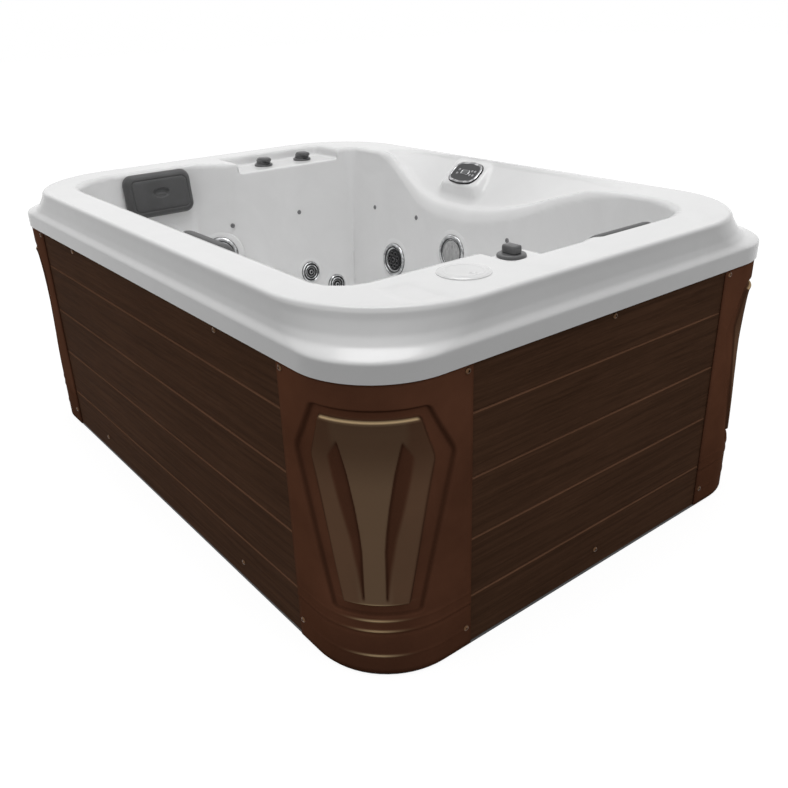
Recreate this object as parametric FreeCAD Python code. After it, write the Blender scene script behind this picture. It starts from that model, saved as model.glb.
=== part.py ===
import FreeCAD, Part
import math
import os

# Hot tub, +Z up, origin at the middle of the flat underside.
# X runs along the long side, the filter deck is at +X and -Y, the lounger lies along +Y.
Vec = FreeCAD.Vector
UP = Vec(0, 0, 1)
ALONG = Vec(1, 0, 0)
ACROSS = Vec(0, 1, 0)
HERE = Vec(0, 0, 0)

# Overall sizes
length = 2100.0
width = 1500.0
height = 860.0
overrun = 20.0
soft_gap = 0.3
run_gap = 0.05

# Acrylic shell: rim
skin = 8.0
lip_drop = 126.0
lip_face = 44.0
lip_radius = 211.0
ridge_inset = 30.0
ridge_radius = 320.0
rim_inset_shares = (0.0, 0.17, 0.47, 0.70, 0.90, 1.0)
rim_rise_shares = (0.0, 0.07, 0.17, 0.38, 0.72, 1.0)

# Acrylic shell: decks, measured in from the outer lip
seat_end_deck = 165.0
front_deck = 143.0
filter_deck = 265.0
head_end_deck = 165.0
rear_deck = 190.0
knob_deck = 285.0
filter_deck_end = -50.0
knob_deck_start = 15.0
knob_deck_run = 140.0
seat_corner_radius = 200.0
filter_corner_radius = 90.0
head_corner_radius = 180.0
foot_corner_radius = 110.0
notch_bend_radius = 18.0
notch_hollow_radius = 30.0
least_radius = 2.0
wall_lean = 6.8
lean_tolerance = 0.5

# Acrylic shell: seats, lounger and foot well
wall_foot_drop = 5.0
step_drop = 320.0
corner_seat_drop = 110.0
corner_seat_setback = 690.0
corner_seat_side = 150.0
middle_seat_drop = 120.0
middle_seat_left = -60.0
middle_seat_right = 400.0
middle_seat_front = -230.0
seat_edge_radius = 60.0
lounger_side = 90.0
lounger_back_setback = 190.0
lounger_back_rise = 110.0
lounger_hip_setback = 570.0
lounger_hip_drop = 140.0
lounger_thigh_x = 100.0
lounger_thigh_drop = 125.0
lounger_knee_x = -120.0
lounger_knee_drop = 70.0
lounger_foot_setback = 570.0
lounger_foot_drop = 275.0
lounger_bend_radius = 120.0
lounger_end_radius = 5.0
well_setback = 620.0
well_front = -240.0
well_rear = 90.0
well_level = 110.0
well_radius = 60.0

# Acrylic shell: scooped rear deck, its top edge given as shares of run and of depth
scoop_left_setback = 440.0
scoop_right_setback = 350.0
scoop_depth = 194.0
scoop_front_setback = 210.0
scoop_rear_setback = 53.0
scoop_run_shares = (0.0, 0.07, 0.16, 0.224, 0.30, 0.42, 0.527, 0.637, 0.740, 0.824, 0.907, 1.0)
scoop_drop_shares = (0.0, 0.15, 0.59, 0.87, 0.99, 1.0, 0.90, 0.70, 0.41, 0.20, 0.09, 0.0)
scoop_floor_lean = 1.6
scoop_lift = 0.05

# Recessed shelf for the two diverters and ledge for the air control
shelf_drop = 38.0
shelf_width = 150.0
shelf_front = 25.0
shelf_rear_setback = 270.0
shelf_radius = 25.0
ledge_drop = 18.0
ledge_front = -190.0
tray_setback = 135.0
tray_side_setback = 245.0
tray_length = 150.0
tray_width = 105.0
tray_depth = 3.0

# Skirt
skirt_inset = 4.0
panel_radius = 210.0
panel_span = 290.0
panel_sheet = 4.0
board_thickness = 14.0
board_pitch = 158.0
first_groove = 143.0
board_chamfer = 3.0
tongue_height = 6.0
tongue_thickness = 5.0
board_overlap = 24.0
skirt_gap = 2.0

# Relief of the corner panels, half widths across the diagonal
relief_depth = 10.0
frame_top_half = 122.0
frame_shoulder_half = 173.0
frame_foot_half = 100.0
frame_top_margin = 59.0
frame_shoulder_margin = 182.0
frame_foot = 173.0
shield_top_half = 106.0
shield_shoulder_half = 136.0
shield_foot_half = 76.0
shield_top_margin = 80.0
shield_foot = 198.0
shield_hollow = 7.0
shield_height_shares = (0.0, 0.25, 0.55, 0.80, 0.93, 1.0)
shield_hollow_shares = (0.0, 0.35, 1.0, 0.85, 0.35, -0.3)
flute_depth = 4.0
flute_top_inner = 70.0
flute_top_outer = 98.0
flute_foot_half = 26.0
flute_mid_inner = 52.0
flute_mid_outer = 72.0
flute_top_margin = 128.0
flute_corner_margin = 172.0
flute_mid_margin = 312.0
flute_foot = 208.0

# Screws of the skirt
screw_head_radius = 7.5
screw_head_height = 4.5
screw_radius = 3.0
screw_length = 36.0
screw_top_margin = 12.0
screw_foot_level = 62.0
long_screw_x = 475.0
panel_screw_inset = 16.0

# Base and timber frame
base_thickness = 8.0
base_inset = 10.0
timber = 40.0
rail_rise = 6.0
rail_end_gap = 178.0
rim_board = 18.0
rim_board_inset = 20.0
rim_board_end_gap = 316.0

# Pillows
pillow_length = 262.0
pillow_height = 160.0
pillow_thickness = 44.0
pillow_edge = 22.0
pillow_radius = 34.0
pillow_crown = 10.0
pillow_border = 22.0
pillow_border_depth = 3.0
pillow_dimple_radius = 26.0
pillow_dimple_depth = 7.0
pillow_top_gap = 7.0
pillow_left_setback = 478.0
pillow_front_x = 160.0
pillow_head_setback = 512.0
peg_radius = 6.0
peg_head_radius = 9.0
peg_head = 5.0
peg_pitch = 150.0
peg_depth = 14.0

# Control panel on its plinth
display_x = -150.0
display_setback = 112.0
display_drop = 45.0
display_tilt = 38.0
display_half_length = 62.0
display_half_width = 33.0
display_bulge = 8.0
display_corner_radius = 26.0
display_bulge_radius = 90.0
bezel_width = 13.0
bezel_height = 7.0
face_thickness = 3.0
face_recess = 2.0
housing_depth = 30.0
housing_wall = 2.5
circuit_thickness = 1.6
circuit_depth = 9.0
window_length = 36.0
window_width = 18.0
window_radius = 3.0
window_height = 1.0
button_radius = 5.5
button_rise = 1.2
button_travel = 0.8
button_flange = 1.5
button_flange_thickness = 1.5
button_gap = 0.25
button_pitch = 16.0
button_row = 9.0
button_left_x = -38.0
button_right_x = 29.0
plinth_top_margin = 12.0
plinth_spread = 46.0
plinth_height = 44.0

# Diverters and air control
control_flange_radius = 36.0
control_flange_height = 9.0
control_bore_radius = 9.0
valve_radius = 30.0
valve_height = 90.0
valve_nut_radius = 34.0
valve_nut_height = 12.0
spindle_radius = 8.0
rotor_radius = 22.0
rotor_height = 50.0
rotor_drop = 22.0
knob_gap = 0.4
knob_radius = 27.0
knob_height = 16.0
lever_length = 44.0
lever_height = 14.0
lever_tip_radius = 9.0
lever_root_radius = 20.0
diverter_setback = 200.0
diverter_places_y = (181.0, 364.0)
air_control_setback = 228.0
air_control_y = -122.0
air_cap_length = 44.0
air_cap_width = 30.0
air_cap_height = 20.0
air_cap_radius = 7.0
air_valve_radius = 19.0
air_valve_height = 60.0
air_rotor_radius = 14.0
air_rotor_height = 34.0
air_nut_radius = 25.0

# Jets: ring, flange, barrel and bore radii
large_ring_radius = 67.0
large_flange_radius = 60.0
large_barrel_radius = 49.0
large_bore_radius = 44.0
small_ring_radius = 43.0
small_flange_radius = 37.0
small_barrel_radius = 27.0
small_bore_radius = 22.5
jet_depth = 66.0
jet_floor = 12.0
jet_flange = 3.0
jet_ring_height = 11.0
jet_ring_lip = 4.0
jet_nut_height = 9.0
jet_nut_width = 9.0
jet_pin_radius = 6.0
jet_pin_depth = 8.0
jet_face_thickness = 10.0
jet_face_gap = 0.8
jet_face_rise = 8.0
jet_nozzle_radius = 5.0
jet_nozzle_depth = 7.0
jet_nozzles = 8
eye_nozzle_radius = 7.0
jet_hub_radius = 9.0
jet_hub_height = 3.0
water_port_setback = 32.0
air_port_setback = 54.0
water_port_radius = 9.0
air_port_radius = 5.0
port_reach = 16.0
port_turn = 40.0
hose_wall = 2.0

# Jet places along each wall and their levels
notch_jet_run = 97.5
notch_jet_drop = 21.0
rosette_setback = 614.0
rosette_drop = 89.0
corner_jet_y = -262.0
middle_jet_x = 170.0
seat_jet_rise = 35.0
foot_jet_places_y = (276.0, 397.0)
foot_jet_levels = (390.0, 312.0)
back_jet_places_y = (190.0, 330.0)
back_jet_rise = 125.0

# Light, suction covers, drain, air injectors
light_x = -100.0
light_rise = 3.0
light_ring_radius = 68.0
light_lens_radius = 48.0
light_barrel_radius = 44.0
light_depth = 60.0
light_wall = 4.0
light_ring_height = 8.0
light_lens_crown = 7.0
suction_places_y = (-125.0, -35.0)
suction_rise = 105.0
suction_radius = 40.0
suction_height = 14.0
suction_slot = 5.0
suction_slot_pitch = 10.0
suction_barrel_radius = 26.0
suction_depth = 45.0
injector_radius = 9.0
injector_height = 3.0
injector_barrel_radius = 6.0
injector_depth = 26.0
end_injector_y = 262.0
notch_injector_run = 150.0
notch_injector_drop = 232.0
rear_injector_setback = 465.0
rear_injector_more_x = (-320.0, 172.0)
injector_drop = 222.0
drain_radius = 32.0
drain_height = 4.0
drain_barrel_radius = 20.0
drain_depth = 34.0
drain_pipe_radius = 12.0
drain_y = -95.0

# Filter
filter_setback = 169.0
filter_side_setback = 419.0
filter_lid_radius = 62.0
filter_lid_height = 5.0
filter_lid_plug = 14.0
filter_neck_radius = 54.0
filter_body_radius = 66.0
filter_wall = 4.0
filter_depth = 300.0
filter_notch_radius = 7.0
cartridge_radius = 48.0
cartridge_bore_radius = 18.0
cartridge_height = 220.0
cartridge_cap = 12.0
cartridge_pleats = 24
cartridge_pleat_depth = 6.0
intake_drop = 145.0
intake_length = 120.0
intake_height = 56.0
intake_thickness = 6.0
intake_slot = 5.0
intake_slot_pitch = 11.0
intake_margin = 10.0

# Pump, heater, control box and cable gland
pump_setback = 460.0
pump_side_setback = 300.0
pump_level = 215.0
volute_radius = 92.0
volute_length = 80.0
volute_wall = 8.0
inlet_radius = 28.0
inlet_reach = 25.0
motor_radius = 66.0
motor_length = 210.0
shaft_radius = 8.0
shaft_reach = 120.0
impeller_radius = 66.0
impeller_length = 30.0
pump_foot_length = 110.0
pump_foot_width = 100.0
pump_foot_setback = 40.0
heater_radius = 32.0
heater_length = 300.0
heater_rise = 145.0
heater_gap = 80.0
box_length = 100.0
box_width = 220.0
box_height = 220.0
box_wall = 3.0
box_level = 250.0
box_setback = 330.0
gland_radius = 20.0
gland_bore_radius = 9.0
gland_height = 26.0
gland_setback = 150.0
gland_side_setback = 190.0

# Pipes
pipe_radius = 22.0
pipe_wall = 3.0
pipe_bend = 46.0
suction_pipe_gap = 90.0
water_main_setback = 200.0
water_main_side_setback = 150.0
water_main_level = 110.0
water_main_radius = 20.0
water_main_bend = 120.0
air_main_setback = 130.0
air_main_side_setback = 110.0
air_main_level = 158.0
air_main_radius = 9.0
drop_start = 26.0
drop_first = 60.0
drop_last = 90.0
drop_bend = 30.0
straight_share = 0.001
riser_places_y = (120.0, 470.0)
riser_drop = 60.0
riser_level_drop = 300.0

half_length = length / 2
half_width = width / 2

# Levels that follow the height
lip_level = height - lip_drop
shelf_level = height - shelf_drop
ledge_level = height - ledge_drop
display_level = height - display_drop
skirt_top = lip_level - skirt_gap
rail_top = lip_level + rail_rise
step_level = height - step_drop
corner_seat_level = step_level - corner_seat_drop
middle_seat_level = step_level - middle_seat_drop
lounger_back_level = step_level + lounger_back_rise
lounger_hip_level = step_level - lounger_hip_drop
lounger_thigh_level = step_level - lounger_thigh_drop
lounger_knee_level = step_level - lounger_knee_drop
lounger_foot_level = step_level - lounger_foot_drop
notch_jet_level = step_level - notch_jet_drop
rosette_level = step_level - rosette_drop
seat_jet_level = step_level + seat_jet_rise
light_level = step_level + light_rise
notch_injector_level = height - notch_injector_drop
injector_level = height - injector_drop
intake_level = height - intake_drop
suction_level = well_level + suction_rise
filter_foot_level = height - filter_depth
frame_top = skirt_top - frame_top_margin
frame_shoulder = skirt_top - frame_shoulder_margin
shield_top = skirt_top - shield_top_margin
flute_top = skirt_top - flute_top_margin
flute_corner = skirt_top - flute_corner_margin
flute_mid = skirt_top - flute_mid_margin
screw_top_level = skirt_top - screw_top_margin
wall_foot_level = lounger_foot_level - wall_foot_drop
riser_level = height - riser_level_drop

# Places that follow the length and the width
filter_x = half_length - filter_setback
air_control_x = half_length - air_control_setback
tray_x = half_length - tray_setback
diverter_x = diverter_setback - half_length
gland_x = half_length - gland_setback
gland_y = gland_side_setback - half_width
pump_x = half_length - pump_setback
pump_y = pump_side_setback - half_width
box_rear = box_setback - half_width
scoop_left = scoop_left_setback - half_length
scoop_right = half_length - scoop_right_setback
scoop_front = half_width - scoop_front_setback
scoop_rear = half_width - scoop_rear_setback
display_y = half_width - display_setback
lounger_back_x = half_length - lounger_back_setback
lounger_hip_x = half_length - lounger_hip_setback
lounger_foot_x = lounger_foot_setback - half_length
well_left = well_setback - half_length
well_right = half_length - well_setback
corner_seat_front = corner_seat_setback - half_length
rosette_x = rosette_setback - half_length
water_main_x = half_length - water_main_setback
water_main_y = half_width - water_main_side_setback
air_main_x = half_length - air_main_setback
air_main_y = half_width - air_main_side_setback
suction_pipe_x = well_right + suction_pipe_gap
shelf_rear = half_width - shelf_rear_setback
filter_y = filter_side_setback - half_width
tray_y = tray_side_setback - half_width
pillow_left_y = pillow_left_setback - half_width
pillow_head_y = half_width - pillow_head_setback
rear_injector_places_x = (rear_injector_setback - half_length, *rear_injector_more_x)
skirt_x = half_length - skirt_inset
skirt_y = half_width - skirt_inset
board_x = skirt_x - panel_sheet
board_y = skirt_y - panel_sheet
frame_x = board_x - board_thickness
frame_y = board_y - board_thickness
lean_run = math.tan(math.radians(wall_lean))
deck_under = height - skin


def cylinder(radius, tall, base=HERE, axis=UP):
    """Solid cylinder from base along axis."""
    return Part.makeCylinder(radius, tall, base, axis)


def ring(outer, inner, tall, base=HERE, axis=UP):
    """Tube of the given radii from base along axis."""
    margin = axis * overrun
    bore = cylinder(inner, tall + overrun * 2, base - margin, axis)
    return cylinder(outer, tall, base, axis).cut(bore)


def block(low, high):
    """Box between two opposite corners."""
    size = high - low
    return Part.makeBox(size.x, size.y, size.z, low)


def revolved(profile):
    """Solid of revolution about Z from (radius, level) points."""
    points = [Vec(radius, 0, level) for radius, level in profile]
    face = Part.Face(Part.makePolygon(points + points[:1]))
    return face.revolve(HERE, UP, 360)


def grown(corners, distance):
    """Polygon of plan corners, anticlockwise, moved out by a distance."""
    result = []
    count = len(corners)
    for index in range(count):
        before, here, after = corners[index - 1], corners[index], corners[(index + 1) % count]
        first = Vec(here[0] - before[0], here[1] - before[1], 0).normalize()
        second = Vec(after[0] - here[0], after[1] - here[1], 0).normalize()
        out_first = Vec(first.y, -first.x, 0)
        out_second = Vec(second.y, -second.x, 0)
        shift = (out_first + out_second) * (distance / (1 + out_first.dot(out_second)))
        result.append((here[0] + shift.x, here[1] + shift.y))
    return result


def outline(corners, radii, level=0.0, distance=0.0):
    """Closed wire of lines and tangent arcs; it can be grown by a distance."""
    count = len(corners)
    turned = []
    for index in range(count):
        before, here, after = corners[index - 1], corners[index], corners[(index + 1) % count]
        cross = ((here[0] - before[0]) * (after[1] - here[1])
                 - (here[1] - before[1]) * (after[0] - here[0]))
        turned.append(max(radii[index] + distance * math.copysign(1, cross), least_radius))
    moved = grown(corners, distance)
    starts, middles, ends = [], [], []
    for index in range(count):
        here = Vec(moved[index][0], moved[index][1], level)
        back = Vec(moved[index - 1][0], moved[index - 1][1], level) - here
        ahead = Vec(moved[(index + 1) % count][0], moved[(index + 1) % count][1], level) - here
        half = back.getAngle(ahead) / 2
        reach = turned[index] / math.tan(half)
        bisector = (Vec(back).normalize() + Vec(ahead).normalize()).normalize()
        starts.append(here + Vec(back).normalize() * reach)
        ends.append(here + Vec(ahead).normalize() * reach)
        middles.append(here + bisector * (turned[index] / math.sin(half) - turned[index]))
    edges = []
    for index in range(count):
        edges.append(Part.Arc(starts[index], middles[index], ends[index]).toShape())
        edges.append(Part.LineSegment(ends[index], starts[(index + 1) % count]).toShape())
    return Part.Wire(edges)


def rectangle(half_x, half_y, radius, level=0.0, centre=(0.0, 0.0)):
    """Rounded rectangle wire about a centre."""
    corners = [(centre[0] + side_x * half_x, centre[1] + side_y * half_y)
               for side_x, side_y in ((-1, -1), (1, -1), (1, 1), (-1, 1))]
    return outline(corners, [radius] * 4, level)


def prism(wire, rise):
    """Solid from a closed wire, raised along Z."""
    return Part.Face(wire).extrude(Vec(0, 0, rise))


def frame_at(origin, x_axis, y_axis, z_axis):
    """Placement with the given origin and axes."""
    matrix = FreeCAD.Matrix(x_axis.x, y_axis.x, z_axis.x, origin.x,
                            x_axis.y, y_axis.y, z_axis.y, origin.y,
                            x_axis.z, y_axis.z, z_axis.z, origin.z,
                            0, 0, 0, 1)
    return FreeCAD.Placement(matrix)


def placed(shape, placement):
    """Copy of a shape moved by a placement."""
    copy = shape.copy()
    copy.Placement = placement.multiply(copy.Placement)
    return copy


def mirrored_four(shape):
    """The shape and its mirror images in the other three quarters."""
    across_x = shape.mirror(HERE, ALONG)
    return [shape, across_x, shape.mirror(HERE, ACROSS), across_x.mirror(HERE, ACROSS)]


def tube(points, radius, wall, bend):
    """Hollow pipe along straight runs joined by tangent arcs."""
    edges = []
    start = points[0]
    for index in range(1, len(points) - 1):
        here = points[index]
        back = (points[index - 1] - here).normalize()
        ahead = (points[index + 1] - here).normalize()
        half = back.getAngle(ahead) / 2
        if math.cos(half) < straight_share:
            continue
        reach = bend / math.tan(half)
        bisector = (back + ahead).normalize()
        entry = here + back * reach
        exit_point = here + ahead * reach
        middle = here + bisector * (bend / math.sin(half) - bend)
        edges.append(Part.LineSegment(start, entry).toShape())
        edges.append(Part.Arc(entry, middle, exit_point).toShape())
        start = exit_point
    edges.append(Part.LineSegment(start, points[-1]).toShape())
    path = Part.Wire(edges)
    direction = points[1] - points[0]
    solids = []
    for size in (radius, radius - wall):
        section = Part.Wire([Part.Circle(points[0], direction, size).toShape()])
        solids.append(path.makePipeShell([section], True, False))
    return solids[0].cut(solids[1]), solids[0]


def loop_tube(half_x, half_y, level, radius, wall, bend):
    """Closed pipe along a rounded rectangle."""
    path = rectangle(half_x, half_y, bend, level)
    start = path.Edges[1].valueAt(path.Edges[1].FirstParameter)
    direction = path.Edges[1].tangentAt(path.Edges[1].FirstParameter)
    ordered = Part.Wire(path.Edges[1:] + path.Edges[:1])
    solids = []
    for size in (radius, radius - wall):
        section = Part.Wire([Part.Circle(start, direction, size).toShape()])
        solids.append(ordered.makePipeShell([section], True, False))
    return solids[0].cut(solids[1]), solids[0]


def wall_frame(inward, top_point, level):
    """Frame on a leaning bowl wall: Z points into the tub, Y up the wall."""
    lean = math.radians(wall_lean)
    normal = inward * math.cos(lean) + UP * math.sin(lean)
    rise = UP * math.cos(lean) - inward * math.sin(lean)
    origin = top_point + inward * ((height - level) * lean_run) + UP * (level - height)
    return frame_at(origin, rise.cross(normal), rise, normal)


def end_wall(y, level):
    """Frame on the wall under the knob deck."""
    return wall_frame(ALONG, Vec(knob_deck - half_length, y, height), level)


def notch_wall(run, level):
    """Frame on the slanting wall from the corner seat out to the knob deck."""
    start = Vec(seat_end_deck - half_length, knob_deck_start - knob_deck_run, height)
    along = (Vec(knob_deck - half_length, knob_deck_start, height) - start).normalize()
    return wall_frame(Vec(along.y, -along.x, 0), start + along * run, level)


def corner_seat_wall(y, level):
    """Frame on the -X wall behind the corner seat."""
    return wall_frame(ALONG, Vec(seat_end_deck - half_length, y, height), level)


def head_wall(y, level):
    """Frame on the +X wall behind the lounger."""
    return wall_frame(-ALONG, Vec(half_length - head_end_deck, y, height), level)


def rear_wall(x, level):
    """Frame on the +Y wall."""
    return wall_frame(-ACROSS, Vec(x, half_width - rear_deck, height), level)


def front_wall(x, level):
    """Frame on the -Y wall."""
    return wall_frame(ACROSS, Vec(x, front_deck - half_width, height), level)


def back_slope(y, rise):
    """Frame on the lounger's sloping back, a rise above its foot."""
    run = Vec(lounger_back_x - lounger_hip_x, 0, lounger_back_level - lounger_hip_level)
    along = Vec(run).normalize()
    foot = Vec(lounger_hip_x, y, lounger_hip_level)
    normal = Vec(-along.z, 0, along.x)
    return frame_at(foot + along * (rise / along.z), along.cross(normal), along, normal)


def well_end(y, level):
    """Frame on the +X end of the foot well."""
    return frame_at(Vec(well_right, y, level), -ACROSS, UP, -ALONG)


def rim_sections(inset, drop):
    """Closed outlines of the rim from lip to ridge, set in and down by a skin."""
    rise = height - lip_level - lip_face
    sections = [rectangle(half_length - inset, half_width - inset, lip_radius - inset,
                          lip_level - (overrun if drop else 0))]
    for inset_share, rise_share in zip(rim_inset_shares, rim_rise_shares):
        step = inset + ridge_inset * inset_share
        radius = lip_radius - inset + (ridge_radius - lip_radius) * inset_share
        level = lip_level + lip_face + rise * rise_share - drop
        sections.append(rectangle(half_length - step, half_width - step, radius, level))
    return sections


def bowl_envelope(distance, top):
    """Leaning bowl walls from their foot to a top level, grown by a distance."""
    corners = [(seat_end_deck - half_length, front_deck - half_width),
               (half_length - filter_deck, front_deck - half_width),
               (half_length - filter_deck, filter_deck_end),
               (half_length - head_end_deck, filter_deck_end),
               (half_length - head_end_deck, half_width - rear_deck),
               (knob_deck - half_length, half_width - rear_deck),
               (knob_deck - half_length, knob_deck_start),
               (seat_end_deck - half_length, knob_deck_start - knob_deck_run)]
    radii = [seat_corner_radius, filter_corner_radius, notch_bend_radius, notch_hollow_radius,
             head_corner_radius, foot_corner_radius, notch_bend_radius, notch_hollow_radius]
    foot = wall_foot_level - distance
    wires = [outline(corners, radii, level, distance + (level - height) * lean_run)
             for level in (foot, top)]
    return Part.makeLoft(wires, True, True)


def seat_region(left, front, right, rear, level, distance):
    """Room above one seat."""
    corners = [(left, front), (right, front), (right, rear), (left, rear)]
    wire = outline(corners, [seat_edge_radius] * 4, level - distance, distance)
    return prism(wire, step_level + overrun - level + distance)


def lounger_region(distance, top):
    """Room above the lounger, from its side profile."""
    corners = [(-half_length, lounger_foot_level), (lounger_foot_x, lounger_foot_level),
               (lounger_knee_x, lounger_knee_level), (lounger_thigh_x, lounger_thigh_level),
               (lounger_hip_x, lounger_hip_level), (lounger_back_x, lounger_back_level),
               (half_length, lounger_back_level), (half_length, top), (-half_length, top)]
    radii = [lounger_end_radius] + [lounger_bend_radius] * 5 + [lounger_end_radius] * 3
    wire = outline(corners, radii, 0.0, distance)
    wire.rotate(HERE, ALONG, 90)
    wire.translate(Vec(0, lounger_side - distance, 0))
    return Part.Face(wire).extrude(Vec(0, half_width - lounger_side, 0))


def bowl(distance, top):
    """Room inside the tub, grown by a distance to give the skin's back."""
    upper = block(Vec(-half_length, -half_width, step_level - distance),
                  Vec(half_length, lounger_side + distance, top + overrun))
    corner_seat = seat_region(-half_length, -half_width, corner_seat_front, corner_seat_side,
                              corner_seat_level, distance)
    middle_seat = seat_region(middle_seat_left, -half_width, middle_seat_right,
                              middle_seat_front, middle_seat_level, distance)
    lounger = lounger_region(distance, top)
    regions = upper.fuse([corner_seat, middle_seat, lounger]).removeSplitter()
    room = bowl_envelope(distance, top).common(regions)
    well_wire = outline([(well_left, well_front), (well_right, well_front),
                         (well_right, well_rear), (well_left, well_rear)],
                        [well_radius] * 4, well_level - distance, distance)
    well = prism(well_wire, step_level + overrun - well_level + distance)
    return room.fuse(well)


def scoop(distance, top):
    """Room above the scooped rear deck, ruled from its curved front edge to the ridge."""
    rim_top = height + scoop_lift - distance * scoop_floor_lean
    wires = []
    front = scoop_front - overrun * 2
    for y in (front, scoop_rear + distance):
        reach = (y - scoop_rear) / (scoop_front - scoop_rear)
        points = []
        for run, fall in zip(scoop_run_shares, scoop_drop_shares):
            x = scoop_left - distance + (scoop_right - scoop_left + distance * 2) * run
            points.append(Vec(x, y, rim_top - scoop_depth * fall * max(reach, 0)))
        curve = Part.BSplineCurve()
        curve.interpolate(points)
        corner_right = Vec(points[-1].x, y, top)
        corner_left = Vec(points[0].x, y, top)
        wires.append(Part.Wire([curve.toShape(),
                                Part.LineSegment(points[-1], corner_right).toShape(),
                                Part.LineSegment(corner_right, corner_left).toShape(),
                                Part.LineSegment(corner_left, points[0]).toShape()]))
    return Part.makeLoft(wires, True, True)


def knob_shelf(distance, top):
    """Room above the recessed shelf in the knob deck."""
    inner = knob_deck - half_length
    half_x = (shelf_width + overrun) / 2 + distance
    half_y = (shelf_rear - shelf_front) / 2 + distance
    centre = (inner + overrun / 2 - shelf_width / 2 , (shelf_rear + shelf_front) / 2)
    wire = rectangle(half_x, half_y, shelf_radius + distance, shelf_level - distance, centre)
    return prism(wire, top - shelf_level + distance)


def air_ledge(distance, top):
    """Room above the lowered ledge beside the filter deck."""
    low = Vec(half_length - filter_deck - overrun, ledge_front - distance, ledge_level - distance)
    high = Vec(half_length - head_end_deck + distance, filter_deck_end + overrun, top)
    return block(low, high)


def display_frame():
    """Frame on the control panel's face: Y up the slope, Z out of the face."""
    tilt = math.radians(display_tilt)
    return frame_at(Vec(display_x, display_y, display_level), ALONG,
                    Vec(0, math.cos(tilt), math.sin(tilt)), Vec(0, -math.sin(tilt), math.cos(tilt)))


def display_outline(distance, level=0.0):
    """Long rounded outline whose upper and lower sides bulge."""
    a, b, bulge = display_half_length, display_half_width, display_bulge
    corners = [(-a, -b), (0.0, -b - bulge), (a, -b), (a, b), (0.0, b + bulge), (-a, b)]
    radii = [display_corner_radius, display_bulge_radius, display_corner_radius] * 2
    return outline(corners, radii, level, distance)


def plinth():
    """Faceted raised seat of the control panel, still a full block."""
    half_x = display_half_length + bezel_width + plinth_top_margin
    half_y = display_half_width + display_bulge + bezel_width
    lower = rectangle(half_x + plinth_spread, half_y + plinth_spread, skin, -plinth_height)
    upper = rectangle(half_x, half_y, skin)
    return placed(Part.makeLoft([lower, upper], True, True), display_frame())


def make_shell():
    """Acrylic shell with rim, decks, bowl and all its holes."""
    top = height + overrun
    rim = Part.makeLoft(rim_sections(0.0, 0.0), True, True)
    hollow = Part.makeLoft(rim_sections(skin, skin), True, True)
    backs = [bowl(skin, height), scoop(skin, height), knob_shelf(skin, height),
             air_ledge(skin, height)]
    rooms = [bowl(0.0, top), scoop(0.0, top), knob_shelf(0.0, top), air_ledge(0.0, top)]
    shell = rim.cut(hollow).fuse(backs)
    seat = plinth().common(scoop(skin, top))
    shell = shell.cut(rooms).fuse(seat)
    tray = prism(rectangle(tray_length / 2, tray_width / 2, shelf_radius, height - tray_depth,
                           (tray_x, tray_y)), overrun)
    holes = [tray] + jet_holes() + control_holes() + fitting_holes() + peg_holes()
    shell = shell.cut(holes)
    return shell.removeSplitter()


def large_jets():
    """Frames of the large jets."""
    return [rear_wall(rosette_x, rosette_level), notch_wall(notch_jet_run, notch_jet_level),
            corner_seat_wall(corner_jet_y, seat_jet_level),
            front_wall(middle_jet_x, seat_jet_level)]


def small_jets():
    """Frames of the small jets."""
    feet = [end_wall(y, level) for y, level in zip(foot_jet_places_y, foot_jet_levels)]
    return feet + [back_slope(y, back_jet_rise) for y in back_jet_places_y]


def skin_along(placement):
    """Skin thickness along a frame's Z; the leaning walls are thinner across."""
    tilt = math.degrees(math.asin(placement.Rotation.multVec(UP).z))
    leaning = abs(tilt - wall_lean) < lean_tolerance
    return skin * math.cos(math.radians(wall_lean)) if leaning else skin


def jet_holes():
    """Holes for the barrels of the jets."""
    holes = []
    for frames, radius in ((large_jets(), large_barrel_radius), (small_jets(), small_barrel_radius)):
        hole = cylinder(radius + soft_gap, overrun * 2, Vec(0, 0, -overrun))
        holes += [placed(hole, frame) for frame in frames]
    return holes


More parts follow.
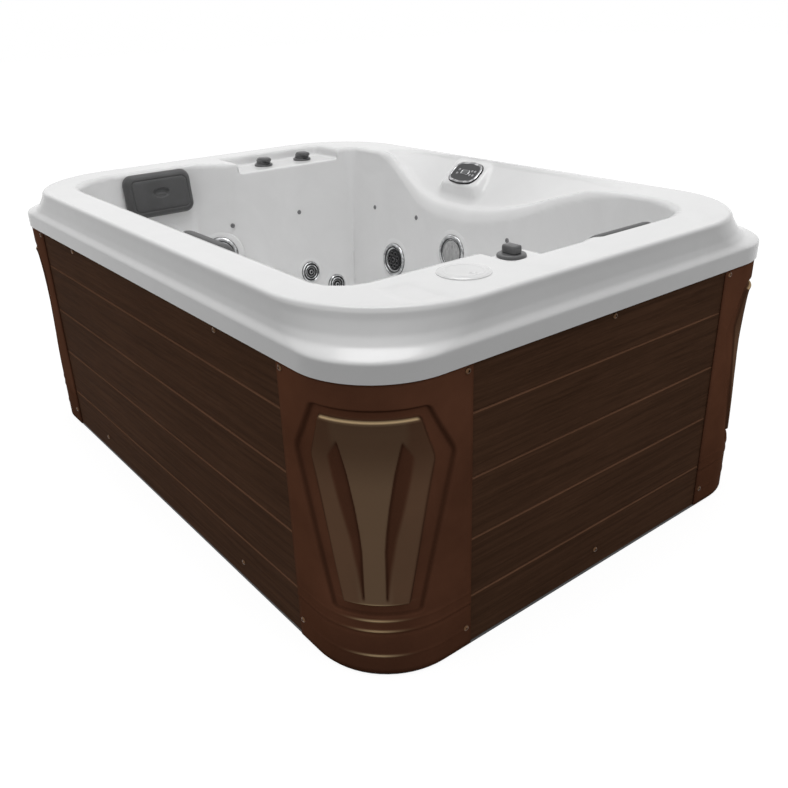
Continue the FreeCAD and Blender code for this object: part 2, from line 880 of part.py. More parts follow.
def jet_pieces(frame, ring_radius, flange_radius, barrel_radius, bore_radius, rosette):
    """Body, nut, chrome ring and turning face of one jet."""
    depth = jet_depth
    body = revolved([(0, -depth), (barrel_radius, -depth), (barrel_radius, 0),
                     (flange_radius, 0), (flange_radius, jet_flange), (bore_radius, jet_flange),
                     (bore_radius, jet_floor - depth), (0, jet_floor - depth)])
    ports, bores = [], []
    reach = barrel_radius + port_reach
    for setback, radius, turn in ((water_port_setback, water_port_radius, port_turn),
                                  (air_port_setback, air_port_radius, -port_turn)):
        out = Vec(math.sin(math.radians(turn)), -math.cos(math.radians(turn)), 0)
        start = out * bore_radius - UP * setback
        body = body.fuse(cylinder(radius, reach - bore_radius, start, out))
        bores.append(cylinder(radius - hose_wall, reach + overrun, -UP * setback, out))
        ports.append((out * reach - UP * setback, out, radius))
    body = body.cut(bores)
    socket = cylinder(jet_pin_radius, jet_pin_depth, Vec(0, 0, jet_floor - depth - jet_pin_depth))
    body = body.cut(socket)
    back = -skin_along(frame)
    nut = ring(barrel_radius + jet_nut_width, barrel_radius, jet_nut_height,
               Vec(0, 0, back - jet_nut_height))
    inner = bore_radius
    crown = revolved([(flange_radius, 0), (ring_radius, 0), (ring_radius, jet_flange),
                      (ring_radius - jet_ring_lip, jet_ring_height),
                      (inner + jet_ring_lip, jet_ring_height), (inner, jet_flange),
                      (flange_radius, jet_flange)])
    face_radius = inner - jet_face_gap
    low = jet_face_rise - jet_face_thickness
    pin_end = jet_floor - depth - jet_pin_depth + jet_face_gap
    face = revolved([(0, pin_end), (jet_pin_radius - run_gap, pin_end),
                     (jet_pin_radius - run_gap, low), (face_radius, low),
                     (face_radius, jet_face_rise - jet_flange),
                     (face_radius - jet_flange, jet_face_rise), (jet_hub_radius, jet_face_rise),
                     (jet_hub_radius - jet_hub_height, jet_face_rise + jet_hub_height),
                     (0, jet_face_rise + jet_hub_height)])
    if rosette:
        circle = (face_radius + jet_hub_radius) / 2
        nozzle = cylinder(jet_nozzle_radius, jet_nozzle_depth + overrun,
                          Vec(circle, 0, jet_face_rise - jet_nozzle_depth))
        for index in range(jet_nozzles):
            turned = nozzle.copy()
            turned.rotate(HERE, UP, 360 * index / jet_nozzles)
            face = face.cut(turned)
    else:
        face = face.cut(cylinder(eye_nozzle_radius - jet_flange, jet_nozzle_depth + overrun,
                                 Vec(0, 0, jet_face_rise - jet_nozzle_depth)))
    ends = [(frame.multVec(centre), frame.Rotation.multVec(out), radius)
            for centre, out, radius in ports]
    return [placed(piece, frame) for piece in (body, nut, crown, face)], ends


def make_jets():
    """All jets; returns bodies, nuts, rings, faces, eyes and the ports' ends."""
    bodies, nuts, rings, faces, eyes, ports = [], [], [], [], [], []
    for frame in large_jets():
        pieces, ends = jet_pieces(frame, large_ring_radius, large_flange_radius,
                                  large_barrel_radius, large_bore_radius, True)
        bodies.append(pieces[0])
        nuts.append(pieces[1])
        rings.append(pieces[2])
        faces.append(pieces[3])
        ports.append((frame, ends))
    for frame in small_jets():
        pieces, ends = jet_pieces(frame, small_ring_radius, small_flange_radius,
                                  small_barrel_radius, small_bore_radius, False)
        bodies.append(pieces[0])
        nuts.append(pieces[1])
        rings.append(pieces[2])
        eyes.append(pieces[3])
        ports.append((frame, ends))
    return bodies, nuts, rings, faces, eyes, ports


def control_frames():
    """Frames of the two diverters and of the air control on their ledges."""
    diverters = [FreeCAD.Placement(Vec(diverter_x, y, shelf_level), FreeCAD.Rotation())
                 for y in diverter_places_y]
    air = FreeCAD.Placement(Vec(air_control_x, air_control_y, ledge_level), FreeCAD.Rotation())
    return diverters, air


def control_holes():
    """Holes for the valve necks and for the control panel's housing."""
    diverters, air = control_frames()
    holes = []
    for frame in diverters + [air]:
        hole = cylinder(control_bore_radius + skin / 2, overrun * 2, Vec(0, 0, -overrun))
        holes.append(placed(hole, frame))
    cut_depth = housing_depth + plinth_height
    housing = prism(display_outline(soft_gap, -cut_depth), cut_depth + overrun)
    holes.append(placed(housing, display_frame()))
    return holes


def control_set(frame, radius, tall, nut_radius, turning, turning_tall, cap):
    """Flange, valve and turning knob with its spindle, in local Z."""
    neck = control_bore_radius + skin / 2 - soft_gap
    floor = -skin - tall
    flange = revolved([(control_bore_radius, 0), (control_flange_radius, 0),
                       (control_flange_radius, control_flange_height / 2),
                       (knob_radius + knob_gap, control_flange_height),
                       (control_bore_radius, control_flange_height)])
    inner_top = -skin - rotor_drop + knob_gap
    inner_floor = inner_top - turning_tall - knob_gap * 2
    valve = revolved([(spindle_radius, 0), (neck, 0), (neck, -skin), (nut_radius, -skin),
                      (nut_radius, -skin - valve_nut_height), (radius, -skin - valve_nut_height),
                      (radius, floor), (0, floor), (0, inner_floor),
                      (turning + run_gap, inner_floor), (turning + run_gap, inner_top),
                      (spindle_radius, inner_top)])
    spindle = revolved([(0, inner_floor + knob_gap), (turning, inner_floor + knob_gap),
                        (turning, inner_top - knob_gap),
                        (spindle_radius - run_gap, inner_top - knob_gap),
                        (spindle_radius - run_gap, control_flange_height + knob_gap),
                        (0, control_flange_height + knob_gap)])
    knob = spindle.fuse(cap).removeSplitter()
    return [placed(piece, frame) for piece in (flange, valve, knob)]


def lever_cap():
    """Round cap with a teardrop lever on it."""
    low = control_flange_height + knob_gap
    cap = revolved([(0, low), (knob_radius, low), (knob_radius, low + knob_height / 2),
                    (lever_root_radius, low + knob_height), (0, low + knob_height)])
    tip_x = lever_length - lever_tip_radius
    angle = math.acos((lever_root_radius - lever_tip_radius) / tip_x)
    touch_root = Vec(lever_root_radius * math.cos(angle), lever_root_radius * math.sin(angle), 0)
    touch_tip = Vec(tip_x + lever_tip_radius * math.cos(angle),
                    lever_tip_radius * math.sin(angle), 0)
    below_root = Vec(touch_root.x, -touch_root.y, 0)
    below_tip = Vec(touch_tip.x, -touch_tip.y, 0)
    wire = Part.Wire([Part.Arc(touch_root, Vec(-lever_root_radius, 0, 0), below_root).toShape(),
                      Part.LineSegment(below_root, below_tip).toShape(),
                      Part.Arc(below_tip, Vec(lever_length, 0, 0), touch_tip).toShape(),
                      Part.LineSegment(touch_tip, touch_root).toShape()])
    wire.translate(Vec(0, 0, low + knob_height / 2))
    lever = prism(wire, knob_height / 2 + lever_height)
    edges = [edge for edge in lever.Edges if edge.BoundBox.ZMin > low + knob_height]
    return cap.fuse(lever.makeFillet(lever_height / 4, edges))


def block_cap():
    """Blocky cap of the air control."""
    low = control_flange_height + knob_gap
    wire = rectangle(air_cap_length / 2, air_cap_width / 2, air_cap_radius, low)
    cap = prism(wire, air_cap_height)
    edges = [edge for edge in cap.Edges if edge.BoundBox.ZMin > low + air_cap_height / 2]
    return cap.makeFillet(air_cap_radius / 2, edges)


def make_controls():
    """Flanges, valves and the three turning knobs."""
    diverters, air = control_frames()
    sets = [control_set(frame, valve_radius, valve_height, valve_nut_radius, rotor_radius,
                        rotor_height, lever_cap()) for frame in diverters]
    sets.append(control_set(air, air_valve_radius, air_valve_height, air_nut_radius,
                            air_rotor_radius, air_rotor_height, block_cap()))
    return [[pieces[index] for pieces in sets] for index in range(3)]


def button_places():
    """Centres of the two buttons on the left and the four on the right of the window."""
    left = [(button_left_x, side * button_row) for side in (-1, 1)]
    right = [(button_right_x + column * button_pitch, side * button_row)
             for column in (0, 1) for side in (-1, 1)]
    return left + right


def make_display():
    """Bezel, face, window, housing, circuit board and six buttons of the control panel."""
    frame = display_frame()
    rim_top = bezel_height
    outer = prism(display_outline(bezel_width), rim_top)
    edges = [edge for edge in outer.Edges if edge.BoundBox.ZMin > rim_top / 2]
    bezel = outer.makeChamfer(rim_top / 2, edges)
    bezel = bezel.cut(prism(display_outline(0.0, -overrun), overrun * 2))
    face_top = rim_top - face_recess
    face_low = face_top - face_thickness
    face = prism(display_outline(0.0, face_low), face_thickness)
    window_hole = prism(rectangle(window_length / 2, window_width / 2, window_radius,
                                  face_low - overrun), overrun * 2)
    window = prism(rectangle(window_length / 2, window_width / 2, window_radius, face_low),
                   face_thickness + window_height)
    housing = prism(display_outline(0.0, -housing_depth), housing_depth + face_low)
    room = prism(display_outline(-housing_wall, housing_wall - housing_depth),
                 housing_depth + overrun)
    housing = housing.cut(room)
    circuit_top = face_low - circuit_depth
    circuit = prism(display_outline(-housing_wall, circuit_top - circuit_thickness),
                    circuit_thickness)
    face = face.cut(window_hole)
    buttons = []
    flange_low = face_low - button_gap - button_flange_thickness
    for x, y in button_places():
        hole = cylinder(button_radius + button_gap, overrun * 2, Vec(x, y, face_low - overrun))
        face = face.cut(hole)
        cap = cylinder(button_radius, face_top + button_rise - flange_low, Vec(x, y, flange_low))
        flange = cylinder(button_radius + button_flange, button_flange_thickness,
                          Vec(x, y, flange_low))
        foot_low = circuit_top + button_travel + button_gap
        foot = cylinder(button_radius / 2, flange_low - foot_low, Vec(x, y, foot_low))
        buttons.append(placed(cap.fuse([flange, foot]).removeSplitter(), frame))
    fixed = [placed(piece, frame) for piece in (bezel, face, window, housing, circuit)]
    return fixed, buttons


def pillow_wire(inset, level):
    """Outline of a pillow at one height above its back."""
    return rectangle(pillow_length / 2 - inset, pillow_height / 2 - inset,
                     pillow_radius - inset / 2, level)


def make_pillow(frame):
    """Pillow with drawn-in sides, a crown, a sunken inner panel edge and a dimple."""
    side = pillow_edge - pillow_crown
    sections = [pillow_wire(pillow_crown / 2, 0.0), pillow_wire(0.0, side),
                pillow_wire(pillow_crown / 4, pillow_edge),
                pillow_wire(pillow_crown, pillow_thickness - pillow_crown)]
    sections.append(pillow_wire(pillow_border, pillow_thickness - pillow_border_depth))
    body = Part.makeLoft(sections, True, True)
    inset = pillow_border + pillow_border_depth
    low = pillow_thickness - pillow_border_depth - pillow_border_depth
    crown = Part.makeLoft([pillow_wire(inset, low), pillow_wire(inset + pillow_crown,
                                                                pillow_thickness)], True, True)
    channel = prism(pillow_wire(pillow_border, low), overrun)
    body = body.cut(channel).fuse(crown)
    sphere_radius = (pillow_dimple_radius ** 2 + pillow_dimple_depth ** 2) / (2 * pillow_dimple_depth)
    dimple = Part.makeSphere(sphere_radius, Vec(0, 0, pillow_thickness - pillow_dimple_depth
                                                + sphere_radius))
    body = body.cut(dimple)
    for side_x in (-1, 1):
        body = body.cut(cylinder(peg_radius + run_gap, peg_depth + soft_gap,
                                 Vec(side_x * peg_pitch / 2, 0, 0)))
    body = body.cut(block(Vec(-half_length, -half_width, -overrun), Vec(half_length, half_width,
                                                                       soft_gap)))
    return placed(body.removeSplitter(), frame)


def pillow_frames():
    """Frames of the three pillows, just under the deck's edge."""
    centre = height - pillow_top_gap - pillow_height / 2
    return [corner_seat_wall(pillow_left_y, centre), front_wall(pillow_front_x, centre),
            head_wall(pillow_head_y, centre)]


def make_pegs():
    """Pegs that hold the pillows, with a head behind the skin."""
    pegs = []
    for frame in pillow_frames():
        back = -skin_along(frame)
        for side_x in (-1, 1):
            x = side_x * peg_pitch / 2
            shank = cylinder(peg_radius, peg_depth - back, Vec(x, 0, back))
            head = cylinder(peg_head_radius, peg_head, Vec(x, 0, back - peg_head))
            pegs.append(placed(shank.fuse(head).removeSplitter(), frame))
    return pegs


def peg_holes():
    """Holes in the shell for the pillow pegs."""
    holes = []
    for frame in pillow_frames():
        for side_x in (-1, 1):
            hole = cylinder(peg_radius, overrun * 2, Vec(side_x * peg_pitch / 2, 0, -overrun))
            holes.append(placed(hole, frame))
    return holes


def injector_frames():
    """Frames of the small air injectors along the water line."""
    ends = [notch_wall(notch_injector_run, notch_injector_level),
            end_wall(end_injector_y, injector_level)]
    return ends + [rear_wall(x, injector_level) for x in rear_injector_places_x]


def drain_frame():
    """Frame of the drain in the foot well's floor."""
    return FreeCAD.Placement(Vec(0, drain_y, well_level), FreeCAD.Rotation())


def intake_frame():
    """Frame of the intake grille on the wall under the filter deck."""
    return wall_frame(-ALONG, Vec(half_length - filter_deck, filter_y, height), intake_level)


def fitting_holes():
    """Holes for the light, suctions, drain, injectors, filter and intake."""
    holes = []
    depth = Vec(0, 0, -overrun)
    holes.append(placed(cylinder(light_barrel_radius + soft_gap, overrun * 2, depth),
                        rear_wall(light_x, light_level)))
    for y in suction_places_y:
        holes.append(placed(cylinder(suction_barrel_radius + soft_gap, overrun * 2, depth),
                            well_end(y, suction_level)))
    holes.append(placed(cylinder(drain_barrel_radius + soft_gap, overrun * 2, depth),
                        drain_frame()))
    for frame in injector_frames():
        holes.append(placed(cylinder(injector_barrel_radius + soft_gap, overrun * 2, depth), frame))
    holes.append(cylinder(filter_neck_radius + filter_wall, overrun * 2,
                          Vec(filter_x, filter_y, height - overrun)))
    window = prism(rectangle(intake_length / 2 - intake_margin, intake_height / 2 - intake_margin,
                             intake_margin / 2, -overrun), overrun * 2)
    holes.append(placed(window, intake_frame()))
    return holes


def make_light():
    """Ring, domed lens and housing of the underwater light."""
    frame = rear_wall(light_x, light_level)
    inner = light_lens_radius
    trim = revolved([(inner, 0), (light_ring_radius, 0),
                     (light_ring_radius, light_ring_height / 2),
                     (light_ring_radius - light_wall, light_ring_height),
                     (inner, light_ring_height)])
    crown_radius = (inner ** 2 + light_lens_crown ** 2) / (2 * light_lens_crown)
    top = light_ring_height + light_lens_crown - light_wall
    ball = Part.makeSphere(crown_radius, Vec(0, 0, top - crown_radius))
    lens = cylinder(inner, top - light_wall, Vec(0, 0, light_wall)).common(ball)
    back = -skin_along(frame)
    housing = revolved([(0, -light_depth), (light_barrel_radius, -light_depth),
                        (light_barrel_radius, 0), (inner, 0), (inner, light_wall),
                        (light_barrel_radius - light_wall, light_wall),
                        (light_barrel_radius - light_wall, light_wall - light_depth),
                        (0, light_wall - light_depth)])
    nut = ring(light_barrel_radius + jet_nut_width, light_barrel_radius, jet_nut_height,
               Vec(0, 0, back - jet_nut_height))
    return [placed(piece, frame) for piece in (trim, lens, housing, nut)]


def make_suctions():
    """Slotted covers and bodies of the two suctions in the foot well."""
    covers, bodies = [], []
    for y in suction_places_y:
        frame = well_end(y, suction_level)
        cover = revolved([(0, 0), (suction_radius, 0), (suction_radius, suction_height / 2),
                          (suction_radius - suction_height / 2, suction_height),
                          (0, suction_height)])
        cover = cover.cut(cylinder(suction_radius - suction_height, suction_height / 2))
        count = int((suction_radius - suction_height) // suction_slot_pitch)
        for index in range(-count, count + 1):
            offset = index * suction_slot_pitch
            half = math.sqrt((suction_radius - suction_height) ** 2 - offset ** 2) - suction_slot
            cover = cover.cut(block(Vec(-half, offset - suction_slot / 2, 0),
                                    Vec(half, offset + suction_slot / 2, suction_height + overrun)))
        covers.append(placed(cover, frame))
        body = ring(suction_barrel_radius, suction_barrel_radius - pipe_wall, suction_depth,
                    Vec(0, 0, -suction_depth))
        nut = ring(suction_barrel_radius + jet_nut_width, suction_barrel_radius, jet_nut_height,
                   Vec(0, 0, -skin - jet_nut_height))
        body = body.fuse(nut).removeSplitter()
        bodies.append(placed(body, frame))
    return covers, bodies


def make_drain():
    """Drain fitting under the foot well and its pipe to the front."""
    fitting = revolved([(0, 0), (drain_radius, 0),
                        (drain_radius - drain_height, drain_height), (0, drain_height)])
    barrel = cylinder(drain_barrel_radius, drain_depth + skin, Vec(0, 0, -drain_depth - skin))
    fitting = placed(fitting.fuse(barrel).removeSplitter(), drain_frame())
    level = well_level - skin - drain_depth + drain_pipe_radius
    start = Vec(0, drain_y - drain_barrel_radius, level)
    end = Vec(0, timber - frame_y, level)
    pipe, full = tube([start + ACROSS * drain_barrel_radius, end], drain_pipe_radius, hose_wall,
                      drop_bend)
    return [fitting, pipe.cut(fitting)], full


def make_injectors():
    """Small air injectors, each with a dark centre hole."""
    pieces = []
    for frame in injector_frames():
        body = revolved([(0, -injector_depth), (injector_barrel_radius, -injector_depth),
                         (injector_barrel_radius, 0), (injector_radius, 0),
                         (injector_radius - injector_height / 2, injector_height),
                         (0, injector_height)])
        body = body.cut(cylinder(injector_barrel_radius / 2, injector_depth / 2 + overrun,
                                 Vec(0, 0, -injector_depth / 2)))
        pieces.append(placed(body, frame))
    return pieces


def make_filter():
    """Lid, pleated cartridge, housing with its duct, and the intake grille."""
    centre = Vec(filter_x, filter_y, 0)
    lid = cylinder(filter_lid_radius, filter_lid_height, centre + UP * height)
    edges = [edge for edge in lid.Edges if edge.BoundBox.ZMin > height + filter_lid_height / 2]
    lid = lid.makeFillet(filter_lid_height / 2, edges)
    plug_radius = filter_neck_radius - soft_gap
    lid = lid.fuse(ring(plug_radius, plug_radius - filter_wall, filter_lid_plug,
                        centre + UP * (height - filter_lid_plug)))
    lid = lid.cut(cylinder(filter_notch_radius, overrun,
                           centre + Vec(filter_lid_radius - filter_notch_radius, 0,
                                        height + filter_lid_height / 2)))
    housing = cylinder(filter_body_radius, deck_under - filter_foot_level,
                       centre + UP * filter_foot_level)
    housing = housing.fuse(cylinder(filter_neck_radius + filter_wall, skin,
                                    centre + UP * deck_under))
    grille_frame = intake_frame()
    duct_half_y = intake_length / 2 - intake_margin / 2
    duct_half_z = intake_height / 2 - intake_margin / 2
    wall_x = half_length - filter_deck - (height - intake_level) * lean_run
    duct = block(Vec(wall_x - overrun, filter_y - duct_half_y, intake_level - duct_half_z),
                 Vec(filter_x, filter_y + duct_half_y, intake_level + duct_half_z))
    keep = placed(block(Vec(-length, -length, -length),
                        Vec(length, length, -skin_along(grille_frame))), grille_frame)
    housing = housing.fuse(duct.common(keep)).removeSplitter()
    housing = housing.cut(cylinder(filter_body_radius - filter_wall,
                                   deck_under - filter_foot_level - filter_wall * 2,
                                   centre + UP * (filter_foot_level + filter_wall)))
    housing = housing.cut(cylinder(filter_neck_radius, overrun * 2,
                                   centre + UP * (height - overrun)))
    inner = block(Vec(wall_x - overrun, filter_y - duct_half_y + filter_wall,
                      intake_level - duct_half_z + filter_wall),
                  Vec(filter_x, filter_y + duct_half_y - filter_wall,
                      intake_level + duct_half_z - filter_wall))
    housing = housing.cut(inner)
    housing = housing.cut(cylinder(pipe_radius - pipe_wall, overrun * 2,
                                   centre + UP * (filter_foot_level - overrun)))
    seat_flange = ring(cartridge_radius, pipe_radius - pipe_wall - filter_wall, filter_wall,
                       centre + UP * (filter_foot_level + filter_wall))
    housing = housing.fuse(seat_flange).removeSplitter()
    low = filter_foot_level + filter_wall * 2 + soft_gap
    cartridge = cylinder(cartridge_radius, cartridge_height, centre + UP * low)
    groove_angle = 360 / cartridge_pleats
    pleat = cylinder(cartridge_pleat_depth / 2, cartridge_height - cartridge_cap * 2,
                     centre + Vec(cartridge_radius, 0, low + cartridge_cap))
    grooves = []
    for index in range(cartridge_pleats):
        turned = pleat.copy()
        turned.rotate(centre, UP, groove_angle * index)
        grooves.append(turned)
    cartridge = cartridge.cut(grooves)
    cartridge = cartridge.cut(cylinder(cartridge_bore_radius, cartridge_height + overrun * 2,
                                       centre + UP * (low - overrun)))
    grille = prism(rectangle(intake_length / 2, intake_height / 2, intake_margin), intake_thickness)
    count = int((intake_height / 2 - intake_margin) // intake_slot_pitch)
    for index in range(-count, count + 1):
        offset = index * intake_slot_pitch
        grille = grille.cut(block(Vec(intake_margin - intake_length / 2, offset - intake_slot / 2,
                                      -overrun),
                                  Vec(intake_length / 2 - intake_margin, offset + intake_slot / 2,
                                      overrun)))
    return lid, cartridge, housing, placed(grille, grille_frame)


def base_plate():
    """Flat base plate with the holes of the gland."""
    plate = prism(rectangle(skirt_x - base_inset + panel_sheet, skirt_y - base_inset + panel_sheet,
                            panel_radius - base_inset + panel_sheet), base_thickness)
    return plate.cut(cylinder(gland_radius, overrun * 2, Vec(gland_x, gland_y, -overrun)))


def make_gland():
    """Grommet for the supply cable in the base plate."""
    body = ring(gland_radius, gland_bore_radius, gland_height, Vec(gland_x, gland_y, 0))
    collar = ring(gland_radius + gland_bore_radius, gland_radius, base_thickness,
                  Vec(gland_x, gland_y, base_thickness))
    return body.fuse(collar).removeSplitter()


def rail_ring(low, high):
    """Four rails and four corner braces of one level, as separate timbers."""
    end_x = skirt_x + panel_sheet - rail_end_gap - soft_gap
    end_y = skirt_y + panel_sheet - rail_end_gap - soft_gap
    pieces = []
    for side in (-1, 1):
        outer, inner = side * frame_y, side * (frame_y - timber)
        pieces.append(block(Vec(-end_x, min(outer, inner), low), Vec(end_x, max(outer, inner), high)))
        outer, inner = side * frame_x, side * (frame_x - timber)
        pieces.append(block(Vec(min(outer, inner), -end_y, low), Vec(max(outer, inner), end_y, high)))
    corners = [Vec(end_x, frame_y - timber, low), Vec(end_x, frame_y, low),
               Vec(frame_x, end_y, low), Vec(frame_x - timber, end_y, low)]
    brace = Part.Face(Part.makePolygon(corners + corners[:1])).extrude(UP * (high - low))
    return pieces + mirrored_four(brace)


def post_places():
    """Plan centres of the posts behind the skirt's screws."""
    depth_x, depth_y = frame_x - timber / 2, frame_y - timber / 2
    panel_x = skirt_x - panel_span + panel_screw_inset
    panel_y = skirt_y - panel_span + panel_screw_inset
    places = []
    for side in (-1, 1):
        places += [(x, side * depth_y) for x in (-panel_x, -long_screw_x, long_screw_x, panel_x)]
        places += [(side * depth_x, y) for y in (-panel_y, 0, panel_y)]
    return places


def make_posts():
    """Upright timbers between the two rail rings."""
    low = base_thickness + timber
    high = rail_top - timber
    return [block(Vec(x - timber / 2, y - timber / 2, low), Vec(x + timber / 2, y + timber / 2, high))
            for x, y in post_places()]


def rim_boards():
    """Upright boards on the top rails that carry the front and end decks."""
    end_x = skirt_x - rim_board_end_gap
    end_y = skirt_y - rim_board_end_gap
    inner_y = frame_y - rim_board_inset
    inner_x = frame_x - rim_board_inset
    boards = [block(Vec(-end_x, -inner_y, rail_top), Vec(end_x, rim_board - inner_y, deck_under))]
    for side in (-1, 1):
        outer, inner = side * inner_x, side * (inner_x - rim_board)
        boards.append(block(Vec(min(outer, inner), -end_y, rail_top),
                            Vec(max(outer, inner), end_y, deck_under)))
    return boards


def skirt_board(low, high, half_run, plane, tongue_above, groove_below):
    """One tongued board along X with its outer face at -Y."""
    inner = plane - board_thickness
    middle = plane - board_thickness / 2
    profile = [(plane - board_chamfer, low), (inner, low), (inner, high)]
    if tongue_above:
        profile += [(middle - tongue_thickness / 2, high),
                    (middle - tongue_thickness / 2, high + tongue_height),
                    (middle + tongue_thickness / 2, high + tongue_height),
                    (middle + tongue_thickness / 2, high)]
    profile += [(plane - board_chamfer, high), (plane, high - board_chamfer),
                (plane, low + board_chamfer)]
    points = [Vec(-half_run, -depth, level) for depth, level in profile]
    board = Part.Face(Part.makePolygon(points + points[:1])).extrude(Vec(half_run * 2, 0, 0))
    if groove_below:
        board = board.cut(block(Vec(-half_run, -middle - tongue_thickness / 2, low),
                                Vec(half_run, -middle + tongue_thickness / 2, low + tongue_height)))
    return board


def board_set(half_run, plane):
    """Boards of one side from the base plate to under the lip."""
    levels = [base_thickness]
    groove = first_groove
    while groove < skirt_top - board_pitch / 2:
        levels.append(groove)
        groove += board_pitch
    levels.append(skirt_top)
    boards = []
    for index in range(len(levels) - 1):
        boards.append(skirt_board(levels[index], levels[index + 1], half_run, plane,
                                  index < len(levels) - 2, index > 0))
    return boards


def make_boards():
    """Boards of the two long sides and of the two ends, with their screw holes."""
    shanks = [shank for _, shank in screws()]
    half_run = skirt_x - panel_span + board_overlap
    front = board_set(half_run, board_y)
    rear = [board.mirror(HERE, ACROSS) for board in front]
    half_run = skirt_y - panel_span + board_overlap
    ends = []
    for board in board_set(half_run, board_x):
        turned = board.copy()
        turned.rotate(HERE, UP, 90)
        ends += [turned, turned.mirror(HERE, ALONG)]
    return drilled(front + rear, shanks), drilled(ends, shanks)


def drilled(pieces, shanks):
    """Pieces with the screw shanks that reach them cut out."""
    result = []
    for piece in pieces:
        near = [shank for shank in shanks if piece.BoundBox.intersect(shank.BoundBox)]
        result.append(piece.cut(near) if near else piece)
    return result


def corner_wire(inset, level):
    """Plan outline of the +X +Y corner between the two ends of its panel."""
    x_flat = skirt_x - panel_span
    y_flat = skirt_y - panel_span
    radius = panel_radius - inset
    centre = Vec(skirt_x - panel_radius, skirt_y - panel_radius, level)
    diagonal = Vec(1, 1, 0).normalize()
    inner = Vec(x_flat, y_flat, level)
    first = Vec(x_flat, skirt_y - inset, level)
    arc_start = Vec(centre.x, skirt_y - inset, level)
    arc_end = Vec(skirt_x - inset, centre.y, level)
    last = Vec(skirt_x - inset, y_flat, level)
    edges = [Part.LineSegment(inner, first).toShape(),
             Part.LineSegment(first, arc_start).toShape(),
             Part.Arc(arc_start, centre + diagonal * radius, arc_end).toShape(),
             Part.LineSegment(arc_end, last).toShape(),
             Part.LineSegment(last, inner).toShape()]
    return Part.Wire(edges)


def relief_prism(corners, distance):
    """Prism along the corner's diagonal from half widths and levels."""
    points = [(-half, level) for half, level in corners]
    points += [(half, level) for half, level in reversed(corners)]
    moved = grown(points[::-1] if signed_area(points) < 0 else points, distance)
    diagonal = Vec(1, 1, 0).normalize()
    sideways = Vec(-1, 1, 0).normalize()
    centre = Vec(skirt_x - panel_radius, skirt_y - panel_radius, 0)
    line = [centre + sideways * across + UP * level for across, level in moved]
    face = Part.Face(Part.makePolygon(line + line[:1]))
    return face.extrude(diagonal * (panel_radius + panel_span))


def signed_area(points):
    """Twice the signed area of a polygon."""
    return sum(points[index - 1][0] * points[index][1] - points[index][0] * points[index - 1][1]
               for index in range(len(points)))


def shield_loft(extra):
    """Corner block whose face is hollowed along its height."""
    wires = []
    for height_share, hollow_share in zip(shield_height_shares, shield_hollow_shares):
        level = shield_foot + (shield_top - shield_foot) * height_share
        wires.append(corner_wire(shield_hollow * hollow_share + extra, level))
    return Part.makeLoft(wires, True, True)


def flute(side):
    """Curved flute that narrows towards the foot, as a prism along the diagonal."""
    diagonal = Vec(1, 1, 0).normalize()
    sideways = Vec(-1, 1, 0).normalize() * side
    centre = Vec(skirt_x - panel_radius, skirt_y - panel_radius, 0)
    top_inner = centre + sideways * flute_top_inner + UP * flute_top
    mid_inner = centre + sideways * flute_mid_inner + UP * flute_mid
    foot = centre + sideways * flute_foot_half + UP * flute_foot
    mid_outer = centre + sideways * flute_mid_outer + UP * flute_mid
    top_outer = centre + sideways * flute_top_outer + UP * flute_corner
    wire = Part.Wire([Part.Arc(top_inner, mid_inner, foot).toShape(),
                      Part.Arc(foot, mid_outer, top_outer).toShape(),
                      Part.LineSegment(top_outer, top_inner).toShape()])
    return Part.Face(wire).extrude(diagonal * (panel_radius + panel_span))


def make_corner_panels():
    """Four moulded corner panels with their framed, fluted shield."""
    rise = skirt_top - base_thickness
    sheet = prism(corner_wire(0.0, base_thickness), rise)
    sheet = sheet.cut(prism(corner_wire(panel_sheet, base_thickness - overrun),
                            rise + overrun * 2))
    frame_corners = [(frame_top_half, frame_top), (frame_shoulder_half, frame_shoulder),
                     (frame_foot_half, frame_foot)]
    pocket = relief_prism(frame_corners, 0.0)
    pan = relief_prism(frame_corners, panel_sheet)
    low = frame_foot - overrun
    tall = frame_top - frame_foot + overrun * 2
    whole = prism(corner_wire(0.0, low), tall)
    floor_face = prism(corner_wire(relief_depth, low), tall)
    floor_back = prism(corner_wire(relief_depth + panel_sheet, low), tall)
    formed = sheet.fuse(pan.common(whole.cut(floor_back)))
    formed = formed.cut(pocket.common(prism(corner_wire(-overrun, low), tall).cut(floor_face)))
    shield_corners = [(shield_top_half, shield_top), (shield_shoulder_half, frame_shoulder),
                      (shield_foot_half, shield_foot)]
    shield = relief_prism(shield_corners, 0.0).common(shield_loft(0.0)).cut(floor_back)
    groove = shield_loft(-overrun).cut(shield_loft(flute_depth))
    for side in (-1, 1):
        shield = shield.cut(flute(side).common(groove))
    panel = formed.fuse(shield).removeSplitter()
    shanks = [shank for _, shank in screws()]
    return drilled(mirrored_four(panel), shanks)


